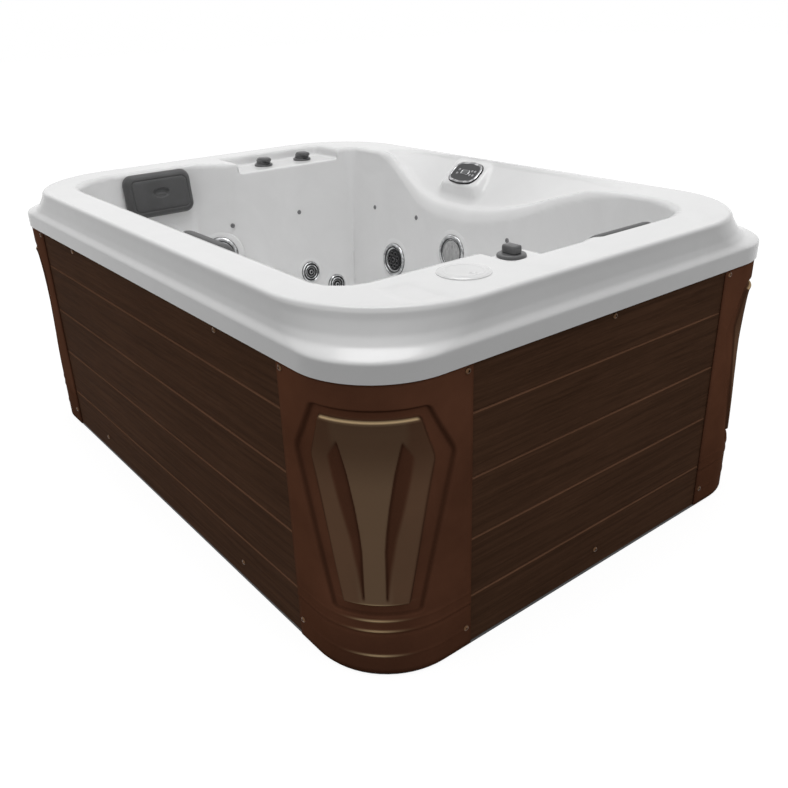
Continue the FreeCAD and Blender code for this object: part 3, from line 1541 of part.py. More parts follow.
def screws():
    """Domed screws of the skirt: whole screw and bare shank of each."""
    cap_radius = (screw_head_radius ** 2 + screw_head_height ** 2) / (2 * screw_head_height)
    ball = Part.makeSphere(cap_radius, Vec(0, 0, screw_head_height - cap_radius))
    head = ball.common(cylinder(screw_head_radius, screw_head_height))
    shank = cylinder(screw_radius, screw_length, Vec(0, 0, -screw_length))
    screw = head.fuse(shank).removeSplitter()
    panel_x = skirt_x - panel_span + panel_screw_inset
    panel_y = skirt_y - panel_span + panel_screw_inset
    result = []
    for level in (screw_foot_level, screw_top_level):
        for side in (-1, 1):
            out = ACROSS * side
            places = [(Vec(x, side * skirt_y, level), out) for x in (-panel_x, panel_x)]
            places += [(Vec(x, side * board_y, level), out) for x in (-long_screw_x, long_screw_x)]
            out = ALONG * side
            places += [(Vec(side * skirt_x, y, level), out) for y in (-panel_y, panel_y)]
            places.append((Vec(side * board_x, 0, level), out))
            for point, direction in places:
                frame = frame_at(point, UP.cross(direction), UP, direction)
                result.append((placed(screw, frame), placed(shank, frame)))
    return result


def make_pump():
    """Volute with ports, motor with its foot, and impeller with its shaft."""
    base = Vec(pump_x, pump_y, pump_level)
    volute = cylinder(volute_radius, volute_length, base, ALONG)
    room = cylinder(volute_radius - volute_wall, volute_length - volute_wall * 2,
                    base + ALONG * volute_wall, ALONG)
    inlet = cylinder(inlet_radius, inlet_reach + volute_wall, base - ALONG * inlet_reach, ALONG)
    outlet_base = base + ALONG * (volute_length / 2)
    outlet = cylinder(pipe_radius + pipe_wall, volute_radius + inlet_reach, outlet_base, UP)
    volute = volute.fuse([inlet, outlet]).cut(room)
    volute = volute.cut([cylinder(pipe_radius - pipe_wall, volute_length / 2 + inlet_reach,
                                  base - ALONG * inlet_reach, ALONG),
                         cylinder(pipe_radius - pipe_wall, volute_radius + inlet_reach + overrun,
                                  outlet_base, UP),
                         cylinder(shaft_radius, volute_length, outlet_base, ALONG)])
    motor_base = base + ALONG * volute_length
    motor = cylinder(motor_radius, motor_length, motor_base, ALONG)
    foot_low = motor_base + Vec(pump_foot_setback, -pump_foot_width / 2, base_thickness - pump_level)
    foot_high = motor_base + Vec(pump_foot_setback + pump_foot_length, pump_foot_width / 2, 0)
    motor = motor.fuse(block(foot_low, foot_high)).removeSplitter()
    motor = motor.cut(cylinder(shaft_radius, shaft_reach + overrun, motor_base, ALONG))
    gap = (volute_length - impeller_length) / 2
    impeller = cylinder(impeller_radius, impeller_length, base + ALONG * gap, ALONG)
    shaft = cylinder(shaft_radius - run_gap, gap + shaft_reach, base + ALONG * (gap + impeller_length),
                     ALONG)
    return volute, motor, impeller.fuse(shaft).removeSplitter()


def make_heater():
    """Heater tube behind the pump's outlet, with its terminal block."""
    level = pump_level + heater_rise
    start = Vec(pump_x + volute_length / 2, pump_y + heater_gap, level)
    body = ring(heater_radius, pipe_radius - pipe_wall, heater_length, start, ACROSS)
    terminal = block(start + Vec(-heater_radius, heater_length / 4, 0),
                     start + Vec(heater_radius, heater_length * 3 / 4, heater_radius * 2))
    bore = cylinder(heater_radius, heater_length, start, ACROSS)
    return body.fuse(terminal.cut(bore)).removeSplitter()


def make_box():
    """Control box on its post, with a cover towards the front."""
    low = Vec(frame_x - timber - box_length, box_rear - box_width, box_level)
    high = low + Vec(box_length, box_width, box_height)
    body = block(low, high)
    inner = block(low + Vec(box_wall, -overrun, box_wall), high - Vec(box_wall, box_wall, box_wall))
    cover = block(low - ACROSS * box_wall, high - ACROSS * box_width)
    return [body.cut(inner), cover]


def drop_hose(start, out, radius, main_point, main_solid):
    """Hose from a port down to its ring main."""
    bend_start = start + out * drop_start
    down = bend_start - UP * drop_first
    above = main_point + UP * drop_last
    hose, _ = tube([start, bend_start, down, above, main_point], radius, hose_wall, drop_bend)
    return hose.cut(main_solid)


def nearest_on_main(point, half_x, half_y, level, inward):
    """Point of a ring main straight out from a wall fitting."""
    if abs(inward.x) > abs(inward.y):
        return Vec(-math.copysign(half_x, inward.x), point.y, level)
    return Vec(point.x, -math.copysign(half_y, inward.y), level)


def make_pipes(ports, drain_solid):
    """Water ring with its drops, air ring with its drops, and suction pipes."""
    water_ring, water_full = loop_tube(water_main_x, water_main_y, water_main_level,
                                       water_main_radius, pipe_wall, water_main_bend)
    air_ring, air_full = loop_tube(air_main_x, air_main_y, air_main_level, air_main_radius,
                                   hose_wall, water_main_bend)
    water, air = [water_ring], [air_ring]
    for frame, ends in ports:
        inward = frame.Rotation.multVec(UP)
        for (end, out, radius), half_x, half_y, level, main_solid, hoses in (
                (ends[0], water_main_x, water_main_y, water_main_level, water_full, water),
                (ends[1], air_main_x, air_main_y, air_main_level, air_full, air)):
            target = nearest_on_main(end, half_x, half_y, level, inward)
            hoses.append(drop_hose(end, out, radius, target, main_solid))
    for y, riser_y in zip(diverter_places_y, riser_places_y):
        top = Vec(diverter_x, y, shelf_level - skin - valve_height)
        riser, _ = tube([top, top - UP * riser_drop, Vec(diverter_x, riser_y, riser_level),
                         Vec(diverter_x, riser_y, water_main_level)],
                        pipe_radius - pipe_wall, pipe_wall, drop_bend)
        water.append(riser.cut(water_full))
    air_top = Vec(air_control_x, air_control_y, ledge_level - skin - air_valve_height)
    air.append(drop_hose(air_top, -UP, air_port_radius,
                         Vec(air_main_x, air_control_y, air_main_level), air_full))
    outlet_x = pump_x + volute_length / 2
    heater_level = pump_level + heater_rise
    rise_pipe, _ = tube([Vec(outlet_x, pump_y, pump_level + volute_radius + inlet_reach),
                         Vec(outlet_x, pump_y, heater_level),
                         Vec(outlet_x, pump_y + heater_gap, heater_level)],
                        pipe_radius, pipe_wall, pipe_radius + pipe_wall)
    heater_end = pump_y + heater_gap + heater_length
    return_y = heater_end + pipe_bend * 2
    down_pipe, _ = tube([Vec(outlet_x, heater_end, heater_level),
                         Vec(outlet_x, return_y, heater_level),
                         Vec(outlet_x, return_y, water_main_level),
                         Vec(water_main_x, return_y, water_main_level)],
                        pipe_radius - pipe_wall, pipe_wall, pipe_bend)
    water += [rise_pipe, down_pipe.cut(water_full)]
    first_y = max(suction_places_y) + suction_barrel_radius
    suction, suction_full = tube([Vec(suction_pipe_x, first_y, suction_level),
                                  Vec(suction_pipe_x, pump_y, suction_level),
                                  Vec(pump_x - inlet_reach, pump_y, suction_level)],
                                 pipe_radius, pipe_wall, pipe_radius + pipe_wall * 2)
    water.append(suction)
    for y in suction_places_y:
        stub = ring(suction_barrel_radius - pipe_wall * 2, suction_barrel_radius - pipe_wall * 3,
                    suction_pipe_x - well_right - suction_depth, Vec(well_right + suction_depth, y,
                                                                     suction_level), ALONG)
        water.append(stub.cut(suction_full))
    filter_pipe, _ = tube([Vec(filter_x, filter_y, filter_foot_level),
                           Vec(filter_x, filter_y, suction_level),
                           Vec(suction_pipe_x, filter_y, suction_level)],
                          pipe_radius, pipe_wall, pipe_bend)
    water.append(filter_pipe.cut(suction_full))
    return [piece.cut(drain_solid) for piece in water[:1]] + water[1:], air


def make_block():
    """Foam block under the foot well, cut round the drain."""
    low = Vec(well_left, well_front, base_thickness)
    high = Vec(well_right, well_rear, well_level - skin)
    body = block(low, high)
    clear = drain_barrel_radius + soft_gap * 2
    return body.cut([cylinder(clear, well_level, Vec(0, drain_y, 0)),
                     block(Vec(-clear, well_front - overrun, -overrun),
                           Vec(clear, drain_y, high.z + overrun))])


def export(name, pieces):
    """One STEP file per node."""
    shape = pieces[0] if len(pieces) == 1 else Part.makeCompound(pieces)
    solids = sum(len(piece.Solids) for piece in pieces)
    print(name, "solids", solids, "of", len(pieces), "valid", shape.isValid(),
          "volume", round(shape.Volume))
    shape.exportStep(os.path.join("parts", name + ".step"))


def main():
    """Builds every piece and writes its file."""
    os.makedirs("parts", exist_ok=True)
    export("tub_shell", [make_shell()])
    export("base_plate", [base_plate()])
    export("cable_gland", [make_gland()])
    export("footwell_block", [make_block()])
    shanks = [shank for _, shank in screws()]
    export("bottom_rails", drilled(rail_ring(base_thickness, base_thickness + timber), shanks))
    export("top_rails", drilled(rail_ring(rail_top - timber, rail_top), shanks))
    export("rim_boards", rim_boards())
    export("frame_posts", drilled(make_posts(), shanks))
    long_boards, end_boards = make_boards()
    export("boards_long", long_boards)
    export("boards_end", end_boards)
    export("corner_panels", make_corner_panels())
    export("skirt_screws", [screw for screw, _ in screws()])
    for name, frame in zip(("corner", "middle", "lounger"), pillow_frames()):
        export("pillow_" + name, [make_pillow(frame)])
    export("pillow_pegs", make_pegs())
    fixed, buttons = make_display()
    for name, piece in zip(("bezel", "face", "window", "housing", "circuit"), fixed):
        export("display_" + name, [piece])
    for index, piece in enumerate(buttons):
        export("display_button_" + str(index + 1), [piece])
    flanges, valves, knobs = make_controls()
    export("control_flanges", flanges)
    export("control_valves", valves)
    for name, piece in zip(("diverter_knob_1", "diverter_knob_2", "air_knob"), knobs):
        export(name, [piece])
    bodies, nuts, rings, faces, eyes, ports = make_jets()
    trim, lens, light_housing, light_nut = make_light()
    export("jet_bodies", bodies)
    export("jet_nuts", nuts + [light_nut])
    export("jet_rings", rings + [trim])
    for index, piece in enumerate(faces):
        export("jet_face_" + str(index + 1), [piece])
    for index, piece in enumerate(eyes):
        export("jet_eye_" + str(index + 1), [piece])
    export("light_lens", [lens])
    export("light_housing", [light_housing])
    covers, suction_bodies = make_suctions()
    export("suction_covers", covers)
    export("suction_bodies", suction_bodies)
    export("air_injectors", make_injectors())
    drain, drain_full = make_drain()
    export("floor_drain", drain)
    lid, cartridge, housing, grille = make_filter()
    export("filter_lid", [lid])
    export("filter_cartridge", [cartridge])
    export("filter_housing", [housing])
    export("intake_grille", [grille])
    volute, motor, rotor = make_pump()
    export("pump_volute", [volute])
    export("pump_motor", [motor])
    export("pump_rotor", [rotor])
    export("heater", [make_heater()])
    export("control_box", make_box())
    water, air = make_pipes(ports, drain_full)
    export("water_pipes", water)
    export("air_pipes", air)


main()
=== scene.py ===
import math

import bmesh
import bpy
import numpy as np
from mathutils import Matrix, Vector


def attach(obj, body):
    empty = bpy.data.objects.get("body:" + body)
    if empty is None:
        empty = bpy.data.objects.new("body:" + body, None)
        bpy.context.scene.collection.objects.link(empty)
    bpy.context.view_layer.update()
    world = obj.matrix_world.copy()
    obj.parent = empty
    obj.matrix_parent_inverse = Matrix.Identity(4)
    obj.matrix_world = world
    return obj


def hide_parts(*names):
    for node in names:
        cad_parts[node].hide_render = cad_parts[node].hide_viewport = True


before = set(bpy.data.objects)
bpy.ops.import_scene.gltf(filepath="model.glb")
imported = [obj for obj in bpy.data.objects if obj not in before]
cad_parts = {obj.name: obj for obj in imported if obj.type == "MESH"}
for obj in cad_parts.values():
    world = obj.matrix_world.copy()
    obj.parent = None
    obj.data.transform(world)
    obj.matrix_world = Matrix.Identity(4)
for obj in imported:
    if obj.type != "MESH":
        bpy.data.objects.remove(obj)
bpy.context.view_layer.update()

bl_info = {
    "name": "Hot tub",
    "version": (1, 0, 0),
    "blender": (4, 5, 0),
    "location": "View3D > Sidebar > Hot tub",
    "description": "Builds the detailed pieces and finishes of a rectangular hot tub",
    "category": "Add Mesh",
}

# The numpy shapes are worked out in millimetres and put into meshes in metres.
MM = 0.001
UP = np.array((0.0, 0.0, 1.0))
NO_TRIANGLES = np.zeros((0, 3), int)
# Outside of the tub: its half sides, the deck's level, the lip's foot and its corners there.
HALF_LONG, HALF_WIDE, TOP = 1050.0, 750.0, 860.0
LIP_FOOT, LIP_CORNER = 734.0, 211.0
# The deck: how far it stands back from the lip, its corners, and how far the lip laps over it.
DECK_INSET, DECK_CORNER, DECK_LAP = 30.0, 320.0, 16.0
# The bowl's walls at the deck's level, those in front of the knobs and of the filter, where
# the latter ends, and the lean of all of them.
BOWL_LEFT, BOWL_RIGHT, BOWL_FRONT, BOWL_REAR = -885.0, 885.0, -607.0, 560.0
KNOB_WALL, FILTER_WALL, FILTER_WALL_END = -765.0, 785.0, -50.0
LEAN = math.radians(6.8)
LEAN_RUN = math.tan(LEAN)
# Corner radii of the bowl's plan: front left, front right, rear right, rear left.
BOWL_CORNERS = (200.0, 90.0, 180.0, 48.0)
# Levels in the bath: the step at the front, the seats, the foot well's floor and how high its
# room goes up, past them all; then those of the knob decks.
STEP, CORNER_SEAT, MIDDLE_SEAT, WELL_FLOOR, WELL_TOP = 540.0, 430.0, 420.0, 110.0, 640.0
KNOB_DECK, AIR_DECK = 822.0, 842.0
# The lounger: its front side, then X and level at the foot and at the top of its back.
LOUNGER_SIDE = 90.0
BACK_FOOT, BACK_TOP = (480.0, 400.0), (860.0, 650.0)
# Seats: left end, right end, rear side and level.
SEATS = ((-HALF_LONG, -360.0, 150.0, CORNER_SEAT), (-60.0, 400.0, -230.0, MIDDLE_SEAT))
# Radius of the edges between one floor of the bath and the next.
FLOOR_EDGE = 28.0
# Outlines in plan: X and Y of the middle, both half sides and the corner radius.
FOOT_WELL = (0.0, -75.0, 430.0, 165.0, 60.0)
KNOB_SHELF = (-830.0, 252.5, 85.0, 227.5, 25.0)
AIR_LEDGE = (825.0, -110.0, 60.0, 80.0, 10.0)
FILTER_TRAY, TRAY_DEPTH, TRAY_SLOPE = (915.0, -505.0, 75.0, 52.0, 25.0), 3.0, 26.0
# The scoop: its ends, its deepest fall and the length of that, its rear and front edges and
# the steepness that its field is divided by.
SCOOP_LEFT, SCOOP_RIGHT = -610.0, 700.0
SCOOP_DEPTH, SCOOP_REACH = 194.0, 160.0
SCOOP_START, SCOOP_FRONT, SCOOP_STEEPNESS = 700.0, 500.0, 1.35
# The control panel's plinth: half sides and corner radius at its top, how fast it widens
# below that, and what its field is scaled by.
PLINTH, PLINTH_FLARE, PLINTH_SCALE = (87.0, 54.0, 14.0), 1.045, 0.69
# Radii of the holes behind the jets' pads, and how far they go to either side of the wall.
LARGE_BORE, SMALL_BORE, BORE_DEPTH = 54.0, 32.0, 22.0
# The net of cells that the shell is made on: its step, its foot and its top.
NET_STEP, NET_FOOT, NET_TOP = 12.0, 80.0, 890.0
SKIN = 8.0
# The corner panels' bend: its radius and its middle in the first quarter.
PANEL_RADIUS = 210.0
PANEL_CENTRE = np.array((836.0, 536.0))
# The relief's shield, the beads below it with their heights, and the foot of its face, where a
# painted highlight runs like those on the beads.
SHIELD_TOP, SHIELD_FOOT, FACE_FOOT = 652.0, 198.0, 201.0
BEADS = ((159.0, 1.3), (130.0, 1.5), (60.0, 1.3))
# Screws of one quarter by X and Y: on the corner panel's two sides and in the long boards;
# X of those in the ends' middles, and the levels of all.
LONG_SIDE_SCREW, END_SCREW, BOARD_SCREW = (772.0, 746.0), (1046.0, 472.0), (475.0, 742.0)
END_MIDDLE_SCREW = 1042.0
SCREW_LEVELS = (62.0, 720.0)
# Half sides and corner radius of a pillow.
PILLOW = (131.0, 80.0, 34.0)
# How many nozzles a large jet's face has, and the radius that they stand at.
NOZZLES, NOZZLE_CIRCLE = 8.0, 26.5
PLATED, WHITE = (0.62, 0.62, 0.63), (1.0, 1.0, 1.0)
# Where the lamps point, in metres.
LAMP_TARGET = (0.0, 0.0, 0.5)
# Level of the lowest groove between skirt boards and the pitch of the grooves, in metres.
BOARD_START, BOARD_PITCH = 0.143, 0.158


# Fields: negative inside, zero on the surface, in millimetres

def round_both(a, b, radius):
    """Where both fields are inside. Near the edge it is the length of the two distances
    past a line one radius inside, less the radius, so the edge is an arc."""
    corner = np.hypot(np.maximum(radius + a, 0.0), np.maximum(radius + b, 0.0))
    return np.minimum(-radius, np.maximum(a, b)) + corner


def round_either(a, b, radius):
    """Where either field is inside, the same arc laid into the inner corner."""
    return -round_both(-a, -b, radius)


def rounded_box(x, y, half_x, half_y, radius):
    """Distance to a rounded rectangle: how far a point lies past the straight core."""
    over_x = np.abs(x) - (half_x - radius)
    over_y = np.abs(y) - (half_y - radius)
    outside = np.hypot(np.maximum(over_x, 0.0), np.maximum(over_y, 0.0))
    return outside + np.minimum(np.maximum(over_x, over_y), 0.0) - radius


def outline(x, y, shape):
    """Distance to a rounded rectangle given by its middle, half sides and corner radius."""
    return rounded_box(x - shape[0], y - shape[1], *shape[2:])


def smooth_share(value):
    """Share from 0 to 1 that starts and ends level: 3 t squared less 2 t cubed."""
    share = np.clip(value, 0.0, 1.0)
    return share * share * (3.0 - 2.0 * share)


def bell(value, width):
    """One at zero, falling off on both sides: e to minus the square of value over width."""
    return np.exp(-(value / width) ** 2)


def softened_line(run, known_run, known_level, width):
    """Straight runs between known points, averaged over a bell of the given width."""
    step = run[1] - run[0]
    reach = max(int(width / step), 1)
    weights = np.hanning(2 * reach + 3)
    level = np.pad(np.interp(run, known_run, known_level), reach + 1, mode="edge")
    return np.convolve(level, weights / weights.sum(), mode="valid")


# Frames: origin, across, rise and outward normal

def wall_frame(inward, top_point, level):
    """Frame on a leaning bowl wall: the normal points into the tub, rise goes up the wall."""
    inward = np.append(np.array(inward, float) / np.hypot(*inward), 0.0)
    normal = inward * math.cos(LEAN) + UP * math.sin(LEAN)
    rise = UP * math.cos(LEAN) - inward * math.sin(LEAN)
    foot = np.array((top_point[0], top_point[1], TOP))
    origin = foot + inward * ((TOP - level) * LEAN_RUN) + UP * (level - TOP)
    return origin, np.cross(rise, normal), rise, normal


def flat_frame(x, y, level):
    """Frame on a level deck."""
    return np.array((x, y, level)), np.array((1.0, 0.0, 0.0)), np.array((0.0, 1.0, 0.0)), UP


def side_frame(x, y, level, outward):
    """Frame on an upright face with the given outward direction."""
    normal = np.array(outward, float)
    return np.array((x, y, level)), np.cross(UP, normal), UP, normal


def back_frame(y, rise_up):
    """Frame on the lounger's sloping back."""
    length, height = BACK_TOP[0] - BACK_FOOT[0], BACK_TOP[1] - BACK_FOOT[1]
    run = np.array((length, 0.0, height)) / math.hypot(length, height)
    normal = np.array((-run[2], 0.0, run[0]))
    origin = np.array((BACK_FOOT[0], y, BACK_FOOT[1])) + run * (rise_up / run[2])
    return origin, np.cross(run, normal), run, normal


def local(x, y, z, place):
    """Coordinates of points in a frame: their distances along its three axes."""
    dx, dy, dz = x - place[0][0], y - place[0][1], z - place[0][2]
    return [dx * axis[0] + dy * axis[1] + dz * axis[2] for axis in place[1:]]


NOTCH_START = np.array((BOWL_LEFT, -125.0))
NOTCH_SIDES = (KNOB_WALL - BOWL_LEFT, 140.0)
NOTCH_ALONG = np.array(NOTCH_SIDES) / math.hypot(*NOTCH_SIDES)
NOTCH_INWARD = np.array((NOTCH_ALONG[1], -NOTCH_ALONG[0]))
LARGE_JETS = [wall_frame((0, -1), (-436.0, BOWL_REAR), 451.0),
              wall_frame(NOTCH_INWARD, NOTCH_START + NOTCH_ALONG * 97.5, 519.0),
              wall_frame((1, 0), (BOWL_LEFT, -262.0), 575.0),
              wall_frame((0, 1), (170.0, BOWL_FRONT), 575.0)]
SMALL_JETS = [wall_frame((1, 0), (KNOB_WALL, 276.0), 390.0),
              wall_frame((1, 0), (KNOB_WALL, 397.0), 312.0),
              back_frame(190.0, 125.0), back_frame(330.0, 125.0)]
LIGHT = wall_frame((0, -1), (-100.0, BOWL_REAR), 543.0)
TILT = math.radians(38.0)
DISPLAY = (np.array((-150.0, 638.0, 815.0)), np.array((1.0, 0.0, 0.0)),
           np.array((0.0, math.cos(TILT), math.sin(TILT))),
           np.array((0.0, -math.sin(TILT), math.cos(TILT))))
INJECTOR_LEVEL = 638.0
INJECTORS = [wall_frame(NOTCH_INWARD, NOTCH_START + NOTCH_ALONG * 150.0, 628.0),
             wall_frame((1, 0), (KNOB_WALL, 262.0), INJECTOR_LEVEL)]
INJECTORS += [wall_frame((0, -1), (x, BOWL_REAR), INJECTOR_LEVEL)
              for x in (-585.0, -320.0, 172.0)]
SUCTIONS = [side_frame(430.0, y, 215.0, (-1, 0, 0)) for y in (-125.0, -35.0)]
KNOBS = [flat_frame(-850.0, y, KNOB_DECK) for y in (181.0, 364.0)]
AIR_KNOB = flat_frame(822.0, -122.0, AIR_DECK)
FILTER = flat_frame(881.0, -331.0, TOP)
FILTER_HOLE = 61.0
PILLOW_LEVEL = 773.0
PILLOW_FRAMES = {"pillow_corner": wall_frame((1, 0), (BOWL_LEFT, -272.0), PILLOW_LEVEL),
                 "pillow_middle": wall_frame((0, 1), (160.0, BOWL_FRONT), PILLOW_LEVEL),
                 "pillow_lounger": wall_frame((-1, 0), (BOWL_RIGHT, 238.0), PILLOW_LEVEL)}
# The lounger's level and the scoop's share of its depth along the tub, and how far the lip
# stands in from the outside at each level.
SIDE_RUN = np.arange(-1200.0, 1200.0, 4.0)
SIDE_LEVEL = softened_line(SIDE_RUN, (-480.0, -120.0, 100.0, BACK_FOOT[0], BACK_TOP[0]),
                           (265.0, 470.0, 415.0, BACK_FOOT[1], BACK_TOP[1]), 60.0)
SIDE_SLOPE = np.gradient(SIDE_LEVEL, SIDE_RUN)
SCOOP_RUN = np.arange(-1200.0, 1200.0, 3.0)
SCOOP_FALL = softened_line(
    (SCOOP_RUN - SCOOP_LEFT) / (SCOOP_RIGHT - SCOOP_LEFT),
    (0.0, 0.07, 0.16, 0.224, 0.30, 0.42, 0.527, 0.637, 0.740, 0.824, 0.907, 1.0),
    (0.0, 0.15, 0.59, 0.87, 0.99, 1.0, 0.90, 0.70, 0.41, 0.20, 0.09, 0.0), 0.05)
RIM_LEVEL = np.arange(720.0, 861.0, 1.0)
RIM_INSET = softened_line(RIM_LEVEL, (720.0, 778.0, 783.7, 791.9, 809.2, 837.0, 860.0),
                          (0.0, 0.0, 5.1, 14.1, 21.0, 27.0, 30.0), 6.0)


def bowl_plan(x, y):
    """Top outline of the bowl: straight sides joined in pairs, each pair with its own
    corner radius; the knob deck and the filter deck cut into it with small inner bends."""
    slant = (y - NOTCH_START[1]) * NOTCH_ALONG[0] - (x - NOTCH_START[0]) * NOTCH_ALONG[1]
    left = round_both(BOWL_LEFT - x, round_either(slant, KNOB_WALL - x, 18.0), 30.0)
    filter_deck = round_either(x - FILTER_WALL, FILTER_WALL_END - y, 18.0)
    right = round_both(x - BOWL_RIGHT, filter_deck, 30.0)
    front, rear = BOWL_FRONT - y, y - BOWL_REAR
    pairs = ((front, left), (front, right), (rear, right), (rear, left))
    return np.maximum.reduce([round_both(first, second, radius)
                              for (first, second), radius in zip(pairs, BOWL_CORNERS)])


def seat_room(x, y, z, left, right, rear, level):
    """Room above one seat: a rounded rectangle in plan, above the seat's level."""
    plan = rounded_box(x - (left + right) / 2, y - (rear - HALF_WIDE) / 2,
                       (right - left) / 2, (rear + HALF_WIDE) / 2, 60.0)
    return round_both(plan, level - z, 35.0)


def scoop_room(x, y, z):
    """Room above the scooped rear deck. Its floor falls from the rear edge to the bowl, by
    a share of the depth that changes along the deck, and stays clear of the deck's level
    where it has no depth. Its steepness divides the height, for a field near to distance."""
    reach = np.clip((SCOOP_START - y) / SCOOP_REACH, 0.0, None)
    depth = SCOOP_DEPTH * np.interp(x, SCOOP_RUN, SCOOP_FALL) * reach
    floor = TOP + 18.0 * (1.0 - smooth_share(depth / 14.0)) - depth
    return np.maximum((floor - z) / SCOOP_STEEPNESS, SCOOP_FRONT - y)


def rim_block(x, y, z):
    """Block under the deck: a rounded rectangle cut off level at the top, with a shallow
    tray in the filter deck."""
    tray = smooth_share(-outline(x, y, FILTER_TRAY) / TRAY_SLOPE)
    plan = rounded_box(x, y, HALF_LONG - DECK_INSET, HALF_WIDE - DECK_INSET, DECK_CORNER)
    return np.maximum(plan, z - TOP + TRAY_DEPTH * tray)


def bath_room(x, y, z):
    """All the room cut into the rim block: seats, lounger and foot well joined under the
    leaning bowl walls, with the scoop, the knob shelf and the air ledge beside them. The
    scoop's floor is rolled up by a centimetre where it meets the bowl."""
    bowl = (bowl_plan(x, y) + (TOP - z) * LEAN_RUN) * math.cos(LEAN)
    slope = np.interp(x, SIDE_RUN, SIDE_SLOPE)
    lounger = (np.interp(x, SIDE_RUN, SIDE_LEVEL) - z) / np.sqrt(1.0 + slope ** 2)
    seats = [seat_room(x, y, z, *seat) for seat in SEATS]
    seats.append(round_both(lounger, LOUNGER_SIDE - y, 30.0))
    floors = round_both(STEP - z, y - LOUNGER_SIDE, 20.0)
    for seat in seats:
        floors = round_either(floors, seat, FLOOR_EDGE)
    room = round_both(bowl, floors, 40.0)
    well = round_both(outline(x, y, FOOT_WELL), WELL_FLOOR - z, 30.0)
    room = round_either(room, np.maximum(well, z - WELL_TOP), FLOOR_EDGE)
    rolled = 12.0 * bell(bowl - 13.0, 17.0)
    room = round_either(room, scoop_room(x, y, z) + rolled, 12.0)
    shelf = round_both(outline(x, y, KNOB_SHELF), KNOB_DECK - z, 9.0)
    ledge = round_both(outline(x, y, AIR_LEDGE), AIR_DECK - z, 7.0)
    return round_either(round_either(room, shelf, 8.0), ledge, 8.0)


def shell_field(x, y, z):
    """Acrylic surface: rim block without the room, plus the control panel's plinth, less a
    hole behind each jet's pad."""
    solid = round_both(rim_block(x, y, z), -bath_room(x, y, z), 13.0)
    across, rise, out = local(x, y, z, DISPLAY)
    plinth = (rounded_box(across, rise, *PLINTH) + out * PLINTH_FLARE) * PLINTH_SCALE
    plinth = np.maximum(round_both(plinth, out, 6.0), scoop_room(x, y, z) - 14.0)
    solid = round_either(solid, plinth, 9.0)
    bores = [(place, LARGE_BORE) for place in LARGE_JETS + [LIGHT]]
    bores += [(place, SMALL_BORE) for place in SMALL_JETS]
    for place, bore in bores:
        across, rise, out = local(x, y, z, place)
        hole = np.maximum(np.hypot(across, rise) - bore, np.abs(out) - BORE_DEPTH)
        solid = np.maximum(solid, -hole)
    return solid


def surface_net(field, low, step):
    """Quads of a field's zero surface: one point in each grid cell that the surface cuts,
    at the mean of its edge crossings, and one quad round each grid edge it crosses."""
    corners = np.array([(i, j, k) for i in (0, 1) for j in (0, 1) for k in (0, 1)])
    edges = np.array([(a, b) for a in range(8) for b in range(a + 1, 8)
                      if np.abs(corners[a] - corners[b]).sum() == 1])
    inside = field < 0
    cells = [size - 1 for size in field.shape]
    count = np.zeros(cells, np.int8)
    for i, j, k in corners:
        count += inside[i:cells[0] + i, j:cells[1] + j, k:cells[2] + k]
    cut = np.argwhere((count > 0) & (count < 8))
    index = np.full(count.shape, -1, np.int64)
    index[tuple(cut.T)] = np.arange(len(cut))
    at = cut[:, None, :] + corners[None]
    values = field[at[..., 0], at[..., 1], at[..., 2]]
    first, second = values[:, edges[:, 0]], values[:, edges[:, 1]]
    crossed = (first < 0) != (second < 0)
    share = np.where(crossed, first / np.where(crossed, first - second, 1.0), 0.0)
    run = (corners[edges[:, 1]] - corners[edges[:, 0]])[None]
    crossings = corners[edges[:, 0]][None] + share[..., None] * run
    mean = (crossings * crossed[..., None]).sum(1) / crossed.sum(1)[:, None]
    quads = []
    for axis, (a, b) in enumerate(((1, 2), (2, 0), (0, 1))):
        here = [slice(1, -1)] * 3
        here[axis] = slice(0, -1)
        ahead = list(here)
        ahead[axis] = slice(1, None)
        start, end = inside[tuple(here)], inside[tuple(ahead)]
        places = np.argwhere(start != end)
        flipped = ~start[tuple(places.T)]
        places = places + 1 - np.eye(3, dtype=int)[axis]
        step_a, step_b = np.eye(3, dtype=int)[a], np.eye(3, dtype=int)[b]
        ring = [places - step_a - step_b, places - step_b, places, places - step_a]
        quad = np.stack([index[tuple(point.T)] for point in ring], 1)
        quad[flipped] = quad[flipped][:, ::-1]
        quads.append(quad)
    return low + (cut + mean) * step, np.concatenate(quads)


def shell_slope(points, nudge=0.5):
    """Value and gradient of the shell's field, the gradient from differences across a nudge."""
    value = shell_field(*points.T)
    sides = []
    for axis in np.eye(3) * nudge:
        sides.append(shell_field(*(points + axis).T) - shell_field(*(points - axis).T))
    return value, np.stack(sides, 1) / (2.0 * nudge)


def deck_edge(x, y):
    """Distance past the line where the deck meets the rim, or into the filter's hole."""
    hole = FILTER_HOLE - np.hypot(x - FILTER[0][0], y - FILTER[0][1])
    inset = DECK_INSET + DECK_LAP
    plan = rounded_box(x, y, HALF_LONG - inset, HALF_WIDE - inset, DECK_CORNER - DECK_LAP)
    return np.maximum(plan, hole)


